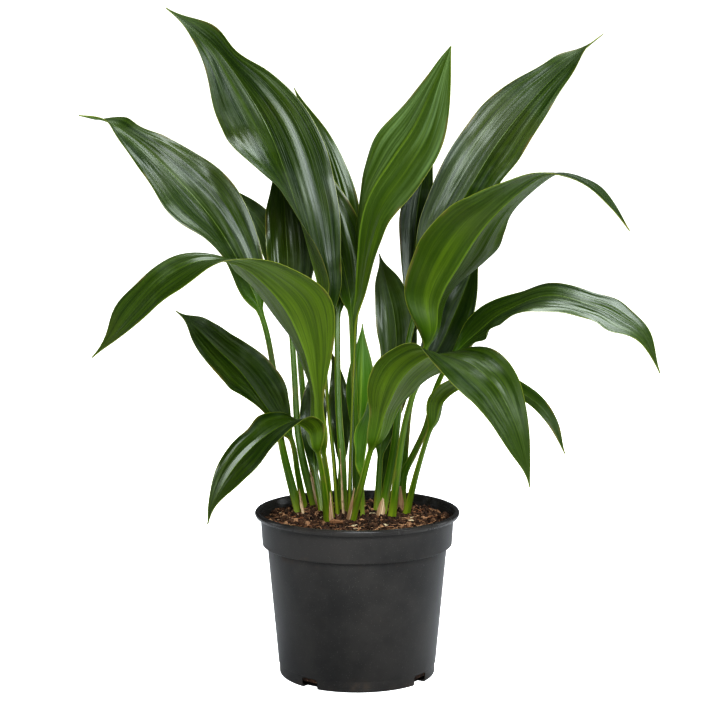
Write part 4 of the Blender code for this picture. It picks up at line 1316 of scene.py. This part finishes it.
# %% [markdown]
# ### Bark chips
# Chips are flat slivers of bark and wood, some weathered nearly white. A cube that is stretched,
# pinched at one end and bevelled makes a sliver with broken corners. One large wedge lies at the
# front, among the stalks.

# %% Chips
CHIPS = 190
SHORTEST_CHIP, CHIP_RANGE = 2.4, 5.0
CHIP_KNOCK = 0.12
STALK_ROOM = 7
PINCHED = (0.45, 0.7)   # width and thickness of a chip's thin end against its thick end
DARK_BARK, BARK = (0.045, 0.022, 0.012), (0.25, 0.13, 0.065)
WEATHERED, BARK_GRAIN = (0.62, 0.52, 0.34), (0.06, 0.035, 0.02)


def near_stalk(x, y):
    """Whether a place lies under one of the stalks."""
    return any((x - leaf.spine[0][0]) ** 2 + (y - leaf.spine[0][1]) ** 2 < STALK_ROOM ** 2
               for leaf in LEAVES.values())


def add_chip(bm, tone, shade, x, y, size, turn, tilt=0.25):
    """One sliver of bark: length, width and thickness in size, lying flat and turned."""
    made = bmesh.ops.create_cube(bm, size=1.0)["verts"]
    bmesh.ops.scale(bm, vec=Vector(size) * MM, verts=made)
    for vert in made:
        if vert.co.x > 0:
            vert.co.y *= PINCHED[0]
            vert.co.z *= PINCHED[1]
        vert.co += Vector([random.uniform(-CHIP_KNOCK, CHIP_KNOCK) * side * MM for side in size])
    edges = list({edge for vert in made for edge in vert.link_edges})
    rounded = bmesh.ops.bevel(bm, geom=edges, offset=0.16 * size[2] * MM, segments=1, profile=0.5,
                              affect="EDGES", material=-1)
    verts = {vert for face in rounded["faces"] for vert in face.verts}
    verts = list(verts | {vert for vert in made if vert.is_valid})
    lie = Matrix.Rotation(turn, 4, "Z")
    for axis in "XY":
        lie = lie @ Matrix.Rotation(random.uniform(-tilt, tilt), 4, axis)
    bmesh.ops.transform(bm, matrix=on_soil(x, y, 0.45 * size[2]) @ lie, verts=verts)
    for vert in verts:
        vert[tone] = shade


def build_chips():
    """Bark chips over the mix, with the large wedge at the front."""
    bm = bmesh.new()
    tone = bm.verts.layers.float.new("tone")
    add_chip(bm, tone, shade=0.62, x=-18, y=-19, size=(15, 9, 3.5), turn=-0.5, tilt=0.1)
    made = 1
    while made < CHIPS:
        x, y = scatter(TOP_RADIUS - 3)
        if near_stalk(x, y):
            continue
        length = SHORTEST_CHIP + CHIP_RANGE * random.random() ** 2
        size = (length, length * random.uniform(0.35, 0.7), length * random.uniform(0.15, 0.3))
        add_chip(bm, tone, random.random(), x, y, size, random.uniform(0, 2 * math.pi))
        made += 1
    return bm


def make_chip_finish():
    """Bark from dark brown to weathered cream, with a lengthwise grain."""
    finish = Finish("bark_chips", specular=0.35)
    tone = finish.number("tone")
    grain = finish.noise(finish.place(), 700.0, 4.0, 0.7)
    colour = finish.blend(finish.between(tone, 0.2, 0.6), DARK_BARK, BARK)
    colour = finish.blend(finish.between(tone, 0.72, 0.92), colour, WEATHERED)
    colour = finish.tint(colour, BARK_GRAIN, finish.between(grain, 0.45, 0.7), 0.5)
    return finish.wear(base_color=colour, roughness=finish.raised(0.7, (grain, 0.3)),
                       normal=finish.bump(grain, strength=0.7, distance=0.0006))


random.seed(5)
chips = finish_mesh("soil_chips", build_chips(), make_chip_finish(), smooth=False)
print("chips", len(chips.data.polygons), "faces")

# %% [markdown]
# ### Root threads
# Fine roots and coir threads lie over the mix, most of them near the rim. Each one is a short
# curve with a round bevel, which is the plainest way to make a thin bent thread.

# %% Threads
THREADS = 170
THREAD_RADIUS, THREAD_THICKNESS = 0.30, (0.6, 1.3)   # the second varies the first
THREAD_LENGTH = (9, 24)
THREAD_STEPS, THREAD_BEND = 6, 0.55
THREAD_COLOURS = ((0.24, 0.100, 0.045), (0.55, 0.33, 0.18))


def thread_points(x, y, turn, length):
    """A thread's points: it wanders over the mix and lifts a little off it."""
    points = []
    for step in range(THREAD_STEPS + 1):
        lift = 0.5 + 1.6 * math.sin(math.pi * step / THREAD_STEPS) * random.random()
        points.append(Vector((x, y, soil_height(x, y) + lift)) * MM)
        turn += random.uniform(-THREAD_BEND, THREAD_BEND)
        x += math.cos(turn) * length / THREAD_STEPS
        y += math.sin(turn) * length / THREAD_STEPS
        if math.hypot(x, y) > TOP_RADIUS:
            turn += math.pi
    return points


def build_threads():
    """Every thread as one curve with a thin round bevel."""
    curve = bpy.data.curves.new("threads", "CURVE")
    curve.dimensions = "3D"
    curve.bevel_depth = THREAD_RADIUS * MM
    curve.bevel_resolution = 1
    curve.resolution_u = 3
    for _ in range(THREADS):
        around = random.uniform(0, 2 * math.pi)
        radius = TOP_RADIUS - 2 - 45 * random.random() ** 1.5
        points = thread_points(radius * math.cos(around), radius * math.sin(around),
                               random.uniform(0, 2 * math.pi), random.uniform(*THREAD_LENGTH))
        spline = curve.splines.new("NURBS")
        spline.points.add(len(points) - 1)
        spline.use_endpoint_u = True
        for knot, point in zip(spline.points, points):
            knot.co = (*point, 1.0)
            knot.radius = random.uniform(*THREAD_THICKNESS)
    holder = link_object("threads", curve)
    mesh = settled_mesh(holder)
    bpy.data.objects.remove(holder, do_unlink=True)
    bm = bmesh.new()
    bm.from_mesh(mesh)
    return bm


def make_thread_finish():
    """Reddish tan root fibre, browner in places."""
    finish = Finish("root_threads", specular=0.35)
    cloud = finish.noise(finish.place(), 60.0)
    return finish.wear(base_color=finish.blend(finish.between(cloud, 0.35, 0.65), *THREAD_COLOURS),
                       roughness=finish.raised(0.6, (cloud, 0.3)))


random.seed(9)
threads = finish_mesh("soil_threads", build_threads(), make_thread_finish())
print("threads", len(threads.data.polygons), "faces")

# %% [markdown]
# ## Sheaths
# Each leaf grew out of a scale that dried to brown paper, and some of these scales still wrap the
# feet of the stalks. A thin bent sheet with a torn edge is enough. It starts as the same thick
# grid as a leaf.

# %% Sheath plan
# For each: its leaf, the way that its middle faces in degrees (0 is the front, 90 the right), how
# far round the stalk it reaches, and how high it stands.
SHEATHS = {
    "sheath_left": ("leaf_wide_left", 80, 100, 22),
    "sheath_drooping_left": ("leaf_drooping_left", 70, 110, 30),
    "sheath_tall_left": ("leaf_tall_left", 90, 110, 60),
    "sheath_front": ("leaf_front_arched", -80, 120, 34),
    "sheath_middle_right": ("leaf_tall_right", -20, 90, 16),
    "sheath_long_right": ("leaf_long_right", -50, 140, 26),
    "sheath_back_left": ("leaf_back_left", 60, 90, 36),
}
print(len(SHEATHS), "sheaths")

# %% Sheath shape and finish
SHEATH = 0.45            # thickness of the paper
SHEATH_BURIED = 4.0
SHEATH_GRID = (28, 22)   # faces round the stalk and up it
SHEATH_VEINS = 0.35      # how much of a leaf's pattern its width shows
TORN, TORN_RATES = 0.16, (5.0, 30.0, 2.0)
SIDES_LOWER = 0.75       # how much lower the sheath ends at its sides than in its middle
SHEATH_RIDGE, SHEATH_RIDGES = 0.22, 9
PAPER = ((0.40, 0.24, 0.13), (0.74, 0.58, 0.38))
PAPER_VEIN, PAPER_STAIN = (0.20, 0.10, 0.06), (0.13, 0.055, 0.045)


def foot_frame(leaf):
    """The stalk's foot: Z runs up the stalk and -Y stays as near the front as it can."""
    points = buried_spine(leaf)
    up = (points[1] - points[0]).normalized()
    right = Vector((0, 1, 0)).cross(up).normalized()
    turn = Matrix((right, up.cross(right), up)).transposed().to_4x4()
    return Matrix.Translation(points[1] * MM) @ turn


def build_sheath(leaf, facing, reach, height, seed):
    """A papery scale that wraps part of a stalk's foot and ends in torn points."""
    bm, layers, inner, outer = thick_grid(*SHEATH_GRID, ("across", "distance", "seed"))
    base = STALK_FOOT_HALF + GAP
    for verts, extra in ((inner, 0.0), (outer, SHEATH)):
        for vert in verts:
            around, up = 2 * vert.co.x, vert.co.y + 0.5
            angle = math.radians(facing + reach / 2 * around)
            torn = 1 + TORN * wobble(TORN_RATES, around, seed, 1)
            top = height * (1 - SIDES_LOWER * abs(around) ** 1.5) * torn
            ridge = SHEATH_RIDGE * abs(math.sin(SHEATH_RIDGES * around + 3 * seed))
            radius = base + extra + ridge * up
            vert.co = Vector((radius * math.sin(angle), -radius * math.cos(angle),
                              (top + SHEATH_BURIED) * up - SHEATH_BURIED)) * MM
            for layer, value in zip(layers, (around * SHEATH_VEINS, height * up * MM, seed)):
                vert[layer] = value
    bmesh.ops.transform(bm, matrix=foot_frame(leaf), verts=bm.verts)
    bmesh.ops.recalc_face_normals(bm, faces=bm.faces[:])
    return bm


def make_sheath_finish():
    """Dry papery brown with darker veins and purplish stains."""
    finish = Finish("dry_sheath", specular=0.35)
    pattern = lengthwise(finish)
    colour = finish.blend(finish.between(pattern["Streaks"], 0.35, 0.65), *PAPER)
    colour = finish.tint(colour, PAPER_VEIN, pattern["Veins"], 0.4)
    stain = finish.between(finish.noise(finish.place(), 130.0, 4.0), 0.52, 0.72)
    colour = finish.tint(colour, PAPER_STAIN, stain, 0.6)
    return finish.wear(base_color=colour, roughness=finish.raised(0.62, (pattern["Streaks"], 0.25)),
                       normal=finish.bump(pattern["Veins"], strength=0.5, distance=0.0004))


random.seed(31)
sheath_finish = make_sheath_finish()
for name, (leaf_name, facing, reach, height) in SHEATHS.items():
    bm = build_sheath(LEAVES[leaf_name], facing, reach, height, random.random())
    finish_mesh(f"fine_{name}", bm, sheath_finish, name)
print("sheaths placed")
